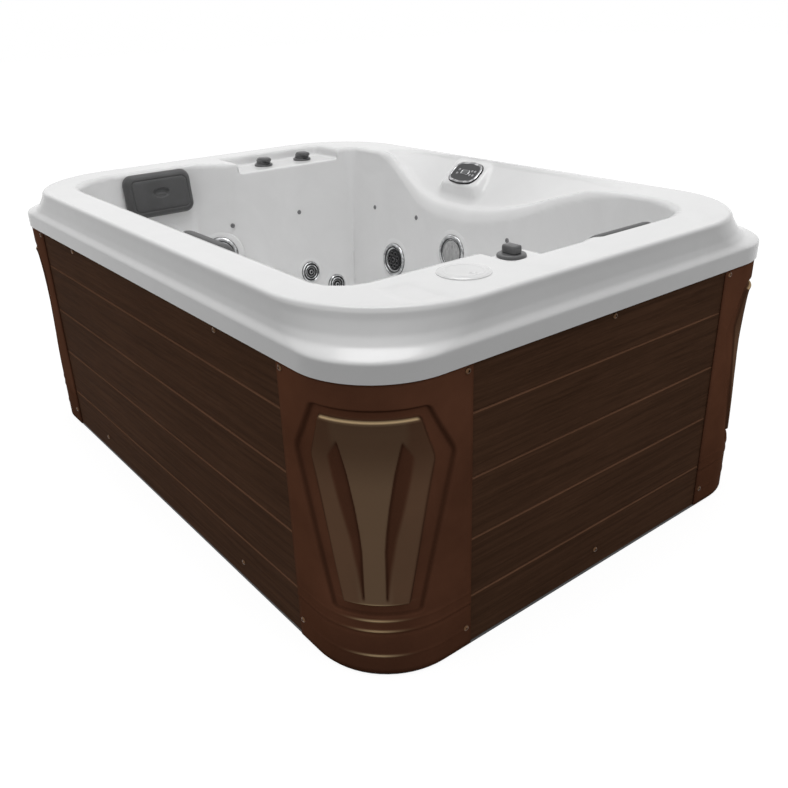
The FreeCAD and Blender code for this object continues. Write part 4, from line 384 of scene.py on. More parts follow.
def shell_surface():
    """Bath with its thickness, and its normals: the net is drawn onto the field by steps of
    value over gradient, trimmed to the deck's edge, copied one skin inwards and joined
    along the edge."""
    reach = np.array((HALF_LONG, HALF_WIDE)) + NET_STEP
    low, high = np.append(-reach, NET_FOOT), np.append(reach, NET_TOP)
    counts = np.ceil((high - low) / NET_STEP).astype(int) + 1
    axes = [low[i] + NET_STEP * np.arange(counts[i]) for i in range(3)]
    field = shell_field(*np.meshgrid(*axes, indexing="ij"))
    points, quads = surface_net(field, low, NET_STEP)
    quads = quads[(deck_edge(points[:, 0], points[:, 1])[quads] < 0.0).any(1)]
    used, quads = np.unique(quads, return_inverse=True)
    points, quads = points[used], quads.reshape(-1, 4)
    for _ in range(4):
        value, slope = shell_slope(points)
        move = value[:, None] * slope / np.maximum((slope ** 2).sum(1), 0.05)[:, None]
        size = np.linalg.norm(move, axis=1)
        points = points - move * np.minimum(1.0, 6.0 / np.maximum(size, 1e-9))[:, None]
    slope = shell_slope(points)[1]
    normals = slope / np.maximum(np.linalg.norm(slope, axis=1), 1e-9)[:, None]
    past = deck_edge(points[:, 0], points[:, 1])
    slope_x = deck_edge(points[:, 0] + 0.5, points[:, 1]) - past
    slope_y = deck_edge(points[:, 0], points[:, 1] + 0.5) - past
    away = np.stack([slope_x, slope_y], 1) * 2.0
    outer = past > 0.0
    points[outer, :2] -= away[outer] * past[outer, None]
    points[outer, 2] = TOP
    normals[outer] = UP
    sides = np.concatenate([quads[:, [i, (i + 1) % 4]] for i in range(4)])
    keys = np.sort(sides, 1)
    keys = keys[:, 0] * len(points) + keys[:, 1]
    _, first, count = np.unique(keys, return_index=True, return_counts=True)
    edge = sides[first[count == 1]]
    size = len(points)
    strip = np.stack([edge[:, 1], edge[:, 0], edge[:, 0] + size, edge[:, 1] + size], 1)
    points = np.concatenate([points, points - normals * SKIN])
    every = np.concatenate([quads, quads[:, ::-1] + size, strip])
    return (points, every, NO_TRIANGLES), np.concatenate([normals, -normals])


# Surfaces: points with quads and triangles

def joined(surfaces):
    """Several surfaces as one."""
    points, quads, triangles, start = [], [], [], 0
    for surface in surfaces:
        points.append(surface[0])
        quads.append(surface[1] + start)
        triangles.append(surface[2] + start)
        start += len(surface[0])
    return np.concatenate(points), np.concatenate(quads), np.concatenate(triangles)


def placed(surface, place):
    """A surface carried into a frame: origin plus each coordinate times its axis."""
    origin, across, rise, out = place
    points = surface[0]
    moved = origin + points[:, :1] * across + points[:, 1:2] * rise + points[:, 2:3] * out
    return moved, surface[1], surface[2]


def copies(surface, places):
    """One surface carried into each of several frames, as one."""
    return joined([placed(surface, place) for place in places])


def grid_quads(rows, columns, around):
    """Quads between neighbouring rows, the last column joined to the first if around."""
    row = np.arange(rows - 1)[:, None]
    column = np.arange(columns if around else columns - 1)[None]
    after = (column + 1) % columns
    corners = [row * columns + column, row * columns + after,
               (row + 1) * columns + after, (row + 1) * columns + column]
    return np.stack([corner.ravel() for corner in np.broadcast_arrays(*corners)], 1)


def loft(loops):
    """Closed surface through equal loops, each end filled to its middle."""
    loops = np.asarray(loops, float)
    rows, columns = loops.shape[:2]
    quads = grid_quads(rows, columns, True)
    points = np.concatenate([loops.reshape(-1, 3), loops[:1].mean(1), loops[-1:].mean(1)])
    here = np.arange(columns)
    after = (here + 1) % columns
    low = np.stack([after, here, np.full(columns, rows * columns)], 1)
    last = (rows - 1) * columns
    high = np.stack([last + here, last + after, np.full(columns, rows * columns + 1)], 1)
    return points, quads, np.concatenate([low, high])


def ring_loft(loops):
    """Closed surface through equal loops, the last joined back to the first."""
    loops = np.asarray(loops, float)
    rows, columns = loops.shape[:2]
    quads = grid_quads(rows + 1, columns, True) % (rows * columns)
    return loops.reshape(-1, 3), quads, NO_TRIANGLES


def corner_arc(start, corner, end, steps):
    """Curve that leaves the start and meets the end along their lines to the corner."""
    share = np.linspace(0.0, 1.0, steps + 1)[:, None]
    return start * (1 - share) ** 2 + corner * 2 * share * (1 - share) + end * share ** 2


def softened(profile, radius, steps, closed=False):
    """Profile with each corner turned into a small arc that touches both its sides."""
    points = [np.array(point, float) for point in profile]
    result = []
    count = len(points)
    for index, here in enumerate(points):
        if not closed and index in (0, count - 1):
            result.append(here)
            continue
        back, ahead = points[index - 1] - here, points[(index + 1) % count] - here
        reach = min(radius, np.linalg.norm(back) * 0.45, np.linalg.norm(ahead) * 0.45)
        start = here + back / np.linalg.norm(back) * reach
        end = here + ahead / np.linalg.norm(ahead) * reach
        result.extend(corner_arc(start, here, end, steps))
    return np.array(result)


def lathe(profile, sides, closed):
    """Profile of radius and level turned about Z; closed profiles make a ring."""
    angle = np.linspace(0.0, 2 * math.pi, sides, endpoint=False)
    profile = np.asarray(profile, float)
    radius, level = profile[:, :1], profile[:, 1:]
    loops = np.stack([radius * np.cos(angle), radius * np.sin(angle),
                      level + angle * 0.0], 2)
    return ring_loft(loops) if closed else loft(loops)


def turned(profile, radius, sides, steps=3, closed=False):
    """Profile with softened corners turned about Z."""
    return lathe(softened(profile, radius, steps, closed), sides, closed)


def corner_loop(corners, radii, grow, level, steps):
    """Loop round plan corners at one level, each corner an arc. To grow it, the sides
    move out along their normals and each radius gains the same amount."""
    corners = np.array(corners, float)
    count = len(corners)
    points = []
    for index in range(count):
        before, here, after = corners[index - 1], corners[index], corners[(index + 1) % count]
        first = (here - before) / np.linalg.norm(here - before)
        second = (after - here) / np.linalg.norm(after - here)
        out_first, out_second = np.array((first[1], -first[0])), np.array((second[1], -second[0]))
        bend = 1 + out_first @ out_second
        here = here + (out_first + out_second) * grow / bend
        radius = max(radii[index] + grow, 1.0)
        centre = here - (out_first + out_second) * radius / bend
        start = math.atan2(out_first[1], out_first[0])
        sweep = (math.atan2(out_second[1], out_second[0]) - start) % (2 * math.pi)
        angle = start + sweep * np.linspace(0.0, 1.0, steps)
        points.append(centre + radius * np.stack([np.cos(angle), np.sin(angle)], 1))
    plan = np.concatenate(points)
    return np.column_stack([plan, np.full(len(plan), level)])


def box_loop(half_x, half_y, radius, level, grow=0.0, steps=8):
    """Loop of a rounded rectangle at one level."""
    corners = [(-half_x, -half_y), (half_x, -half_y), (half_x, half_y), (-half_x, half_y)]
    return corner_loop(corners, [radius] * 4, grow, level, steps)


def lip_surface():
    """Rim and lip: a profile of inset and level carried round the tub, its corner radius
    growing with the inset up to the deck, then its inner skin one thickness behind."""
    level = np.concatenate([(LIP_FOOT, 745.0, 758.0), np.arange(768.0, 849.1, 2.25)])
    inset = np.interp(level, RIM_LEVEL, RIM_INSET)
    start, corner, end = np.array(((inset[-1], level[-1]), (29.8, TOP), (41.0, TOP)))
    arc = corner_arc(start, corner, end, 8)
    outer = np.concatenate([np.column_stack([inset, level]), arc[1:],
                            [(46.0, TOP), (52.0, TOP - 0.7)]])
    tangent = np.gradient(outer, axis=0)
    tangent = tangent / np.linalg.norm(tangent, axis=1)[:, None]
    inner = outer + SKIN * np.column_stack([tangent[:, 1], -tangent[:, 0]])
    inner[0, 1] = LIP_FOOT
    loops = []
    for draw, height in np.concatenate([outer, inner[::-1]]):
        radius = LIP_CORNER + (DECK_CORNER - LIP_CORNER) * min(draw / DECK_INSET, 1.0)
        radius -= max(draw - DECK_INSET, 0.0)
        loops.append(box_loop(HALF_LONG - draw, HALF_WIDE - draw, radius, height, steps=44))
    return ring_loft(loops)


def add_piece(name, surface, body, slot, replaced, sharp=38.0, normals=None, shares=None):
    """Mesh object of a surface, riding on a body, in its slot's finish. Closed surfaces get
    their normals turned outwards; the shell brings its own. Shares are kept in the points."""
    points, quads, triangles = surface
    mesh = bpy.data.meshes.new(name)
    mesh.vertices.add(len(points))
    mesh.vertices.foreach_set("co", (points * MM).astype(np.float32).ravel())
    loops = np.concatenate([quads.ravel(), triangles.ravel()]).astype(np.int32)
    mesh.loops.add(len(loops))
    mesh.loops.foreach_set("vertex_index", loops)
    starts = np.concatenate([np.arange(len(quads)) * 4,
                             len(quads) * 4 + np.arange(len(triangles)) * 3])
    mesh.polygons.add(len(starts))
    mesh.polygons.foreach_set("loop_start", starts.astype(np.int32))
    for share_name, values in (shares or {}).items():
        kept = mesh.attributes.new(share_name, "FLOAT", "POINT")
        kept.data.foreach_set("value", values.astype(np.float32))
    mesh.update(calc_edges=True)
    mesh.validate()
    if normals is None:
        work = bmesh.new()
        work.from_mesh(mesh)
        bmesh.ops.remove_doubles(work, verts=work.verts, dist=1e-6)
        bmesh.ops.recalc_face_normals(work, faces=work.faces)
        work.to_mesh(mesh)
        work.free()
    mesh.shade_smooth()
    if normals is None:
        mesh.set_sharp_from_angle(angle=math.radians(sharp))
    else:
        mesh.normals_split_custom_set_from_vertices(normals)
    piece = bpy.data.objects.new(name, mesh)
    bpy.context.scene.collection.objects.link(piece)
    mesh.materials.append(FINISHES[slot])
    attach(piece, body)
    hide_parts(*replaced)
    return piece


def add_numbered(name, body, node, surface, places, slot, shares=None):
    """The same surface as one piece in each frame, numbered from one like its body and node."""
    for number, place in enumerate(places, 1):
        add_piece("%s_%d" % (name, number), placed(surface, place), "%s_%d" % (body, number),
                  slot, ["%s_%d" % (node, number)], shares=shares)


# Finishes

class Value:
    """One shader value. Sums, products and shares written on it add Math nodes."""

    def __init__(self, tree, socket):
        self.tree = tree
        self.socket = socket

    def math(self, operation, first, second=None):
        node = self.tree.nodes.new("ShaderNodeMath")
        node.operation = operation
        connect(self.tree, node.inputs[0], first)
        if second is not None:
            connect(self.tree, node.inputs[1], second)
        return Value(self.tree, node.outputs[0])

    def __add__(self, other):
        return self.math("ADD", self, other)

    def __radd__(self, other):
        return self.math("ADD", other, self)

    def __sub__(self, other):
        return self.math("SUBTRACT", self, other)

    def __rsub__(self, other):
        return self.math("SUBTRACT", other, self)

    def __mul__(self, other):
        return self.math("MULTIPLY", self, other)

    def __rmul__(self, other):
        return self.math("MULTIPLY", other, self)

    def __truediv__(self, other):
        return self.math("DIVIDE", self, other)

    def __rtruediv__(self, other):
        return self.math("DIVIDE", other, self)

    def sine(self):
        return self.math("SINE", self)

    def floor(self):
        return self.math("FLOOR", self)

    def share(self, low, high):
        """Share of the way from low to high, held between 0 and 1."""
        part = (self - low) / (high - low)
        return part.math("MINIMUM", part.math("MAXIMUM", part, 0.0), 1.0)


def connect(tree, socket, value):
    """Links a shader value to a socket, or sets the socket to a plain value."""
    if isinstance(value, Value):
        tree.links.new(value.socket, socket)
    elif socket.type == "RGBA" and len(value) == 3:
        socket.default_value = (*value, 1.0)
    else:
        socket.default_value = value


class Finish:
    """A material or a world in the making, patterned on Object coordinates in metres."""

    def __init__(self, name, family="materials"):
        self.block = getattr(bpy.data, family).new(name)
        self.block.use_nodes = True
        self.tree = self.block.node_tree
        self.tree.nodes.clear()

    def node(self, kind, output, settings=None, sockets=None):
        """Node of a kind: its settings first, then its sockets; gives back an output if named."""
        node = self.tree.nodes.new(kind)
        for name, value in (settings or {}).items():
            setattr(node, name, value)
        for name, value in (sockets or {}).items():
            connect(self.tree, node.inputs[name], value)
        return None if output is None else Value(self.tree, node.outputs[output])

    def place(self, stretch=(1.0, 1.0, 1.0)):
        """Object coordinates, stretched."""
        point = self.node("ShaderNodeTexCoord", "Object")
        return self.node("ShaderNodeMapping", 0, {"vector_type": "POINT"},
                         {"Vector": point, "Scale": stretch})

    def noise(self, scale, detail, roughness, stretch=(1.0, 1.0, 1.0), bend=0.0):
        """Cloudy value about one half."""
        return self.node("ShaderNodeTexNoise", 0, None,
                         {"Vector": self.place(stretch), "Scale": scale, "Detail": detail,
                          "Roughness": roughness, "Distortion": bend})

    def cells(self, scale, feature="F1"):
        """Distance to the nearest of scattered points."""
        return self.node("ShaderNodeTexVoronoi", 0, {"feature": feature},
                         {"Vector": self.place(), "Scale": scale})

    def axis(self, name):
        """One object coordinate in metres."""
        point = self.node("ShaderNodeTexCoord", "Object")
        return self.node("ShaderNodeSeparateXYZ", name, None, {"Vector": point})

    def painted(self, name):
        """A share that the mesh carries in each of its points."""
        return self.node("ShaderNodeAttribute", "Fac", {"attribute_name": name})

    def mixed(self, factor, first, second):
        """Colour between two colours."""
        return self.node("ShaderNodeMix", 2, {"data_type": "RGBA"},
                         {0: factor, 6: first, 7: second})

    def toned(self, value, low, high, colour, first, second=1.0):
        """Colour that goes from one tint to another as a value goes from low to high."""
        return self.mixed(value.share(low, high), tinted(colour, first), tinted(colour, second))

    def bump(self, height, strength, distance):
        """Normal that follows a height."""
        return self.node("ShaderNodeBump", 0, None,
                         {"Height": height, "Strength": strength, "Distance": distance})

    def seen(self):
        """One for a ray from the camera, off gloss or through glass, and nothing for others."""
        camera, glossy, through = (self.node("ShaderNodeLightPath", "Is %s Ray" % kind)
                                   for kind in ("Camera", "Glossy", "Transmission"))
        return camera + glossy + through

    def done(self, **sockets):
        """Surface shader with the given sockets, joined to the output."""
        named = {name.replace("_", " "): value for name, value in sockets.items()}
        return self.shown(self.node("ShaderNodeBsdfPrincipled", 0, None, named))

    def shown(self, shader, kind="Material"):
        """The material or world itself, with a shader joined to its output."""
        self.node("ShaderNodeOutput" + kind, None, None, {"Surface": shader})
        return self.block


def tinted(colour, factor):
    """A colour made lighter or darker."""
    return tuple(min(part * factor, 1.0) for part in colour)


def plastic(name, colour, roughness, grain=900.0, depth=0.00004, coat=0.0, metallic=0.0):
    """Moulded plastic or paint: cloudy tint, patchy gloss and a fine pebbled skin."""
    finish = Finish(name)
    cloud = finish.noise(7.0, 4.0, 0.55)
    base = finish.toned(cloud, 0.3, 0.7, colour, 0.9, 1.08)
    skin = finish.noise(grain, 2.0, 0.6)
    return finish.done(Base_Color=base, Roughness=roughness - 0.05 + 0.1 * cloud,
                       Metallic=metallic, Coat_Weight=coat,
                       Normal=finish.bump(skin, 0.5, depth))


def acrylic(colours):
    """Cast acrylic: near white with a faint marbling, a hard gloss and a slight waviness."""
    finish = Finish("white_acrylic")
    veins = finish.noise(3.2, 6.0, 0.62, bend=1.4)
    cloud = finish.noise(11.0, 4.0, 0.5)
    shell = tuple(colours.acrylic)
    base = finish.toned(veins, 0.35, 0.68, shell, 0.955)
    base = finish.mixed(cloud.share(0.5, 0.9) * 0.35, base, tinted(shell, 0.97))
    wave = finish.noise(16.0, 2.0, 0.4)
    return finish.done(Base_Color=base, Roughness=0.2 + 0.08 * cloud, Coat_Weight=0.16,
                       Coat_Roughness=0.12, Specular_IOR_Level=0.3,
                       Normal=finish.bump(wave, 0.25, 0.0008))


def skirt_board(colours):
    """Brown composite board: long fine grain, pale flecks, and a painted highlight along the top
    edge of each board.
    """
    finish = Finish("brown_skirt_board")
    brown = tuple(colours.board)
    along = finish.noise(26.0, 7.0, 0.62, (0.12, 0.12, 3.4), 0.5)
    fine = finish.noise(240.0, 5.0, 0.7, (0.06, 0.06, 1.0))
    broad = finish.noise(2.6, 3.0, 0.5)
    base = finish.toned(along, 0.34, 0.66, brown, 0.72, 1.18)
    base = finish.mixed(fine.share(0.52, 0.78) * 0.5, base, tinted(brown, 1.75))
    base = finish.mixed(broad.share(0.35, 0.8) * 0.3, base, tinted(brown, 0.6))
    # Painted highlight: a thin lighter line along the top edge of each board, just under the
    # groove above it.
    below = (finish.axis("Z") - BOARD_START) / BOARD_PITCH
    edge = (below - below.floor()).share(0.974, 0.984) * (0.35 + 0.65 * along)
    base = finish.mixed(edge, base, tinted(brown, 2.8))
    height = along * 0.6 + fine * 0.5
    return finish.done(Base_Color=base, Roughness=0.52 + 0.16 * fine,
                       Specular_IOR_Level=0.004, Normal=finish.bump(height, 0.6, 0.0010))


def bronze_moulding(colours):
    """Moulded corner: coppery brown with a metallic cast, rubbed to gold on the raised shield,
    painted shade in the flutes and creases, under the shield's top and towards the bottom, painted
    highlights on the shield's top edge, its foot and the beads, satin gloss and brushed waviness."""
    finish = Finish("bronze_moulding")
    brown, gold = tuple(colours.moulding), tuple(colours.rubbed_gold)
    cloud = finish.noise(5.0, 4.0, 0.55)
    brushed = finish.noise(60.0, 5.0, 0.65, (1.0, 1.0, 0.16))
    fleck = finish.noise(700.0, 2.0, 0.5)
    base = finish.toned(cloud, 0.35, 0.7, brown, 0.85, 1.15)
    base = finish.mixed(finish.painted("gold_share"), base, gold)
    # Painted shade: darker in the creases and flutes, under the shield's top edge and towards the
    # bottom.
    base = finish.mixed(finish.painted("painted_shade_share"), base, tinted(brown, 0.42))
    base = finish.mixed(fleck.share(0.55, 0.8) * 0.3, base, tinted(brown, 1.9))
    # Painted highlights: light gold lines on the shield's top edge, its foot and the beads.
    base = finish.mixed(finish.painted("painted_highlight_and_plating_share"), base, (0.85, 0.62, 0.35))
    height = brushed * 0.6 + fleck * 0.2
    return finish.done(Base_Color=base, Roughness=0.26 + 0.12 * brushed,
                       Metallic=0.04 + 0.05 * cloud, Specular_IOR_Level=0.0,
                       Specular_Tint=(0.8, 0.6, 0.5, 1.0),
                       Normal=finish.bump(height, 0.35, 0.0006))


def pillow_foam(colours):
    """Moulded foam pillow: charcoal skin with leather-like pebbles and dusty highlights."""
    finish = Finish("charcoal_pillow_skin")
    grey = tuple(colours.pillow)
    pebble = finish.cells(420.0, "SMOOTH_F1")
    cloud = finish.noise(14.0, 4.0, 0.5)
    base = finish.toned(cloud, 0.35, 0.7, grey, 0.85, 1.15)
    base = finish.mixed(pebble.share(0.25, 0.75) * 0.35, base, tinted(grey, 0.6))
    return finish.done(Base_Color=base, Roughness=0.5 + 0.14 * cloud, Sheen_Weight=0.15,
                       Specular_IOR_Level=0.4, Normal=finish.bump(1.0 - pebble, 0.4, 0.0004))


def chrome(name, colour, roughness):
    """Polished trim: mirror metal with fine turning marks, a patchy haze that varies the gloss
    and, as a painted reflection, darkens the tint in patches, and painted shade in the grooves.
    """
    finish = Finish(name)
    painted_reflection_haze = finish.noise(40.0, 3.0, 0.5)
    marks = finish.noise(900.0, 2.0, 0.6)
    # Painted reflection: the tint falls to half in patches, standing in for dark reflections.
    base = finish.toned(painted_reflection_haze, 0.42, 0.6, colour, 0.5)
    # Painted shade: near black where the points carry it, in the rings' grooves and round their
    # edges, and on the bezel below its crest.
    base = finish.mixed(finish.painted("painted_shade_share"), base, tinted(colour, 0.03))
    return finish.done(Base_Color=base, Metallic=1.0, Roughness=roughness + 0.08 * painted_reflection_haze,
                       Normal=finish.bump(marks, 0.15, 0.00003))


def jet_moulding(name, colour):
    """Black jet plastic: cloudy tint and gloss, bright plated collars."""
    finish = Finish(name)
    cloud = finish.noise(60.0, 3.0, 0.5)
    skin = finish.noise(700.0, 2.0, 0.6)
    bright = finish.painted("painted_highlight_and_plating_share")
    base = finish.toned(cloud, 0.3, 0.7, colour, 0.8, 1.2)
    base = finish.mixed(bright, base, PLATED)
    return finish.done(Base_Color=base, Roughness=0.28 + 0.08 * cloud, Metallic=bright * 0.95,
                       Specular_IOR_Level=0.2, Normal=finish.bump(skin, 0.4, 0.00003))


def glass_window(name, colour, roughness):
    """Dark glossy window with a soft clouding under the glass."""
    finish = Finish(name)
    cloud = finish.noise(90.0, 2.0, 0.4)
    base = finish.mixed(cloud, tinted(colour, 0.8), tinted(colour, 1.3))
    return finish.done(Base_Color=base, Roughness=roughness + 0.03 * cloud,
                       Coat_Weight=1.0, Coat_Roughness=0.03)


def streaked_lens(name, colour):
    """Light lens: grey plastic with fine streaks moulded up and down it."""
    finish = Finish(name)
    streak = finish.noise(260.0, 4.0, 0.6, (1.0, 1.0, 0.1))
    cloud = finish.noise(20.0, 3.0, 0.5)
    base = finish.toned(streak, 0.35, 0.68, colour, 0.75, 1.35)
    return finish.done(Base_Color=base, Roughness=0.16 + 0.1 * cloud, Coat_Weight=0.6,
                       Normal=finish.bump(streak, 0.35, 0.0005))


def timber(name, colour):
    """Sawn softwood: rings along the grain, darker late wood and a rough face."""
    finish = Finish(name)
    bend = finish.noise(3.0, 3.0, 0.5)
    grain = finish.noise(34.0, 6.0, 0.6, (0.2, 1.0, 1.0), 0.6)
    base = finish.toned(grain, 0.35, 0.7, colour, 0.75, 1.15)
    return finish.done(Base_Color=base, Roughness=0.62 + 0.15 * bend,
                       Normal=finish.bump(grain, 0.5, 0.0008))


def foam_block(name, colour):
    """Closed-cell foam: fine cells and a soft mottling."""
    finish = Finish(name)
    cells = finish.cells(260.0)
    cloud = finish.noise(9.0, 3.0, 0.5)
    base = finish.toned(cells, 0.1, 0.7, colour, 1.0, 0.8)
    return finish.done(Base_Color=base, Roughness=0.8 + 0.1 * cloud,
                       Normal=finish.bump(cells, 0.6, 0.0008))


def circuit_board(name, colour):
    """Circuit board: green lacquer over a grid of tracks with tinned pads."""
    finish = Finish(name)
    tracks = (finish.axis("X") * 1600.0).sine() * (finish.axis("Y") * 1600.0).sine()
    pads = finish.cells(240.0)
    base = finish.toned(tracks, 0.1, 0.5, colour, 1.0, 1.9)
    base = finish.mixed(1.0 - pads.share(0.12, 0.2), base, (0.6, 0.6, 0.58))
    return finish.done(Base_Color=base, Roughness=0.35 + 0.1 * tracks.share(0.0, 1.0),
                       Normal=finish.bump(tracks, 0.3, 0.0002))


def pleated_paper(name, colour):
    """Filter fabric: soft felt with fine upright fibres."""
    finish = Finish(name)
    fibre = finish.noise(320.0, 5.0, 0.7, (1.0, 1.0, 0.15))
    base = finish.toned(fibre, 0.3, 0.7, colour, 0.85)
    return finish.done(Base_Color=base, Roughness=0.75 + 0.15 * fibre, Sheen_Weight=0.2,
                       Normal=finish.bump(fibre, 0.6, 0.0005))


FINISHES = {}


def make_finishes(colours):
    """All the finishes, by the names of their material slots."""
    grey, black = tuple(colours.fitting), tuple(colours.internals)
    FINISHES.update({
        "acrylic": acrylic(colours),
        "skirt_board": skirt_board(colours),
        "corner_moulding": bronze_moulding(colours),
        "pillow_foam": pillow_foam(colours),
        "chrome_trim": chrome("jet_chrome", (0.74, 0.75, 0.76), 0.12),
        "bronze_screw": chrome("bronze_screw_heads", tuple(colours.screw), 0.26),
        "jet_black": jet_moulding("black_jet_moulding", black),
        "control_grey": plastic("dark_grey_knobs", grey, 0.38, 1200.0, 0.00005),
        "lens_plastic": streaked_lens("grey_light_lens", (0.37, 0.37, 0.37)),
        "satin_trim": chrome("satin_bezel", (0.60, 0.60, 0.61), 0.2),
        "panel_face": plastic("panel_face_film", (0.026, 0.026, 0.028), 0.34, 900.0, 0.00002),
        "display_glass": glass_window("display_window_glass", (0.012, 0.016, 0.018), 0.05),
        "button_plastic": plastic("soft_grey_buttons", (0.34, 0.34, 0.35), 0.42),
        "fitting_grey": plastic("grey_fittings", (0.2, 0.2, 0.205), 0.4, 800.0),
        "acrylic_trim": plastic("white_lid", (0.74, 0.74, 0.74), 0.22, 300.0, 0.00003, 0.4),
        "base_plastic": plastic("black_base_pan", (0.02, 0.02, 0.021), 0.55, 220.0, 0.0003),
        "rubber_black": plastic("black_rubber_gland", (0.015, 0.015, 0.016), 0.7, 900.0),
        "hidden_plastic": plastic("dull_black_housing", (0.03, 0.03, 0.032), 0.5, 500.0),
        "pvc_white": plastic("white_pipe_plastic", (0.66, 0.67, 0.66), 0.35, 400.0, 0.00004),
        "clear_hose": plastic("milky_hose", (0.56, 0.6, 0.62), 0.22, 200.0, 0.00004, 0.3),
        "rotor_plastic": plastic("rotor_moulding", (0.08, 0.09, 0.1), 0.4, 500.0),
        "box_paint": plastic("grey_box_paint", (0.3, 0.31, 0.32), 0.45, 350.0, 0.0001),
        "motor_paint": plastic("blue_grey_motor_paint", (0.08, 0.12, 0.17), 0.4, 260.0,
                               0.0002, 0.2, 0.2),
        "heater_steel": chrome("brushed_heater_steel", (0.55, 0.55, 0.54), 0.3),
        "timber": timber("sawn_frame_timber", (0.42, 0.27, 0.13)),
        "foam": foam_block("foam_support_block", (0.62, 0.6, 0.52)),
        "circuit_board": circuit_board("green_circuit_board", (0.012, 0.09, 0.03)),
        "filter_fabric": pleated_paper("filter_felt", (0.75, 0.76, 0.74)),
    })


# The CAD nodes that stay shown, by their slots.
SLOT_NODES = {
    "base_plastic": ["base_plate"], "rubber_black": ["cable_gland"], "foam": ["footwell_block"],
    "timber": ["bottom_rails", "top_rails", "rim_boards", "frame_posts"],
    "skirt_board": ["boards_long", "boards_end"],
    "hidden_plastic": ["pillow_pegs", "display_housing", "light_housing", "pump_volute"],
    "panel_face": ["display_face"], "circuit_board": ["display_circuit"],
    "pvc_white": ["control_valves", "jet_bodies", "jet_nuts", "suction_bodies",
                  "filter_housing", "water_pipes"],
    "fitting_grey": ["intake_grille", "floor_drain"], "filter_fabric": ["filter_cartridge"],
    "motor_paint": ["pump_motor"], "rotor_plastic": ["pump_rotor"],
    "heater_steel": ["heater"], "box_paint": ["control_box"], "clear_hose": ["air_pipes"],
}


def paint_nodes():
    """Puts the finishes on the CAD nodes that stay shown."""
    for slot, names in SLOT_NODES.items():
        for name in names:
            for material_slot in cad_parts[name].material_slots:
                material_slot.link = "OBJECT"
                material_slot.material = FINISHES[slot]


# Pieces

def six_sides(across, level, halves, levels, radius):
    """Distance to an upright six-sided outline, alike left and right: the greatest of its
    edges' distances, with the corners rounded."""
    top_half, shoulder_half, foot_half = halves
    top, shoulder, foot = levels
    wide = np.abs(across)
    run_up, run_down = top - shoulder, shoulder - foot
    draw_up, draw_down = shoulder_half - top_half, shoulder_half - foot_half
    upper = (wide - shoulder_half) * run_up + (level - shoulder) * draw_up
    lower = (wide - foot_half) * run_down - (level - foot) * draw_down
    upper = round_both(upper / math.hypot(run_up, draw_up), level - top, radius)
    lower = round_both(lower / math.hypot(run_down, draw_down), foot - level, radius)
    return round_both(upper, lower, radius)


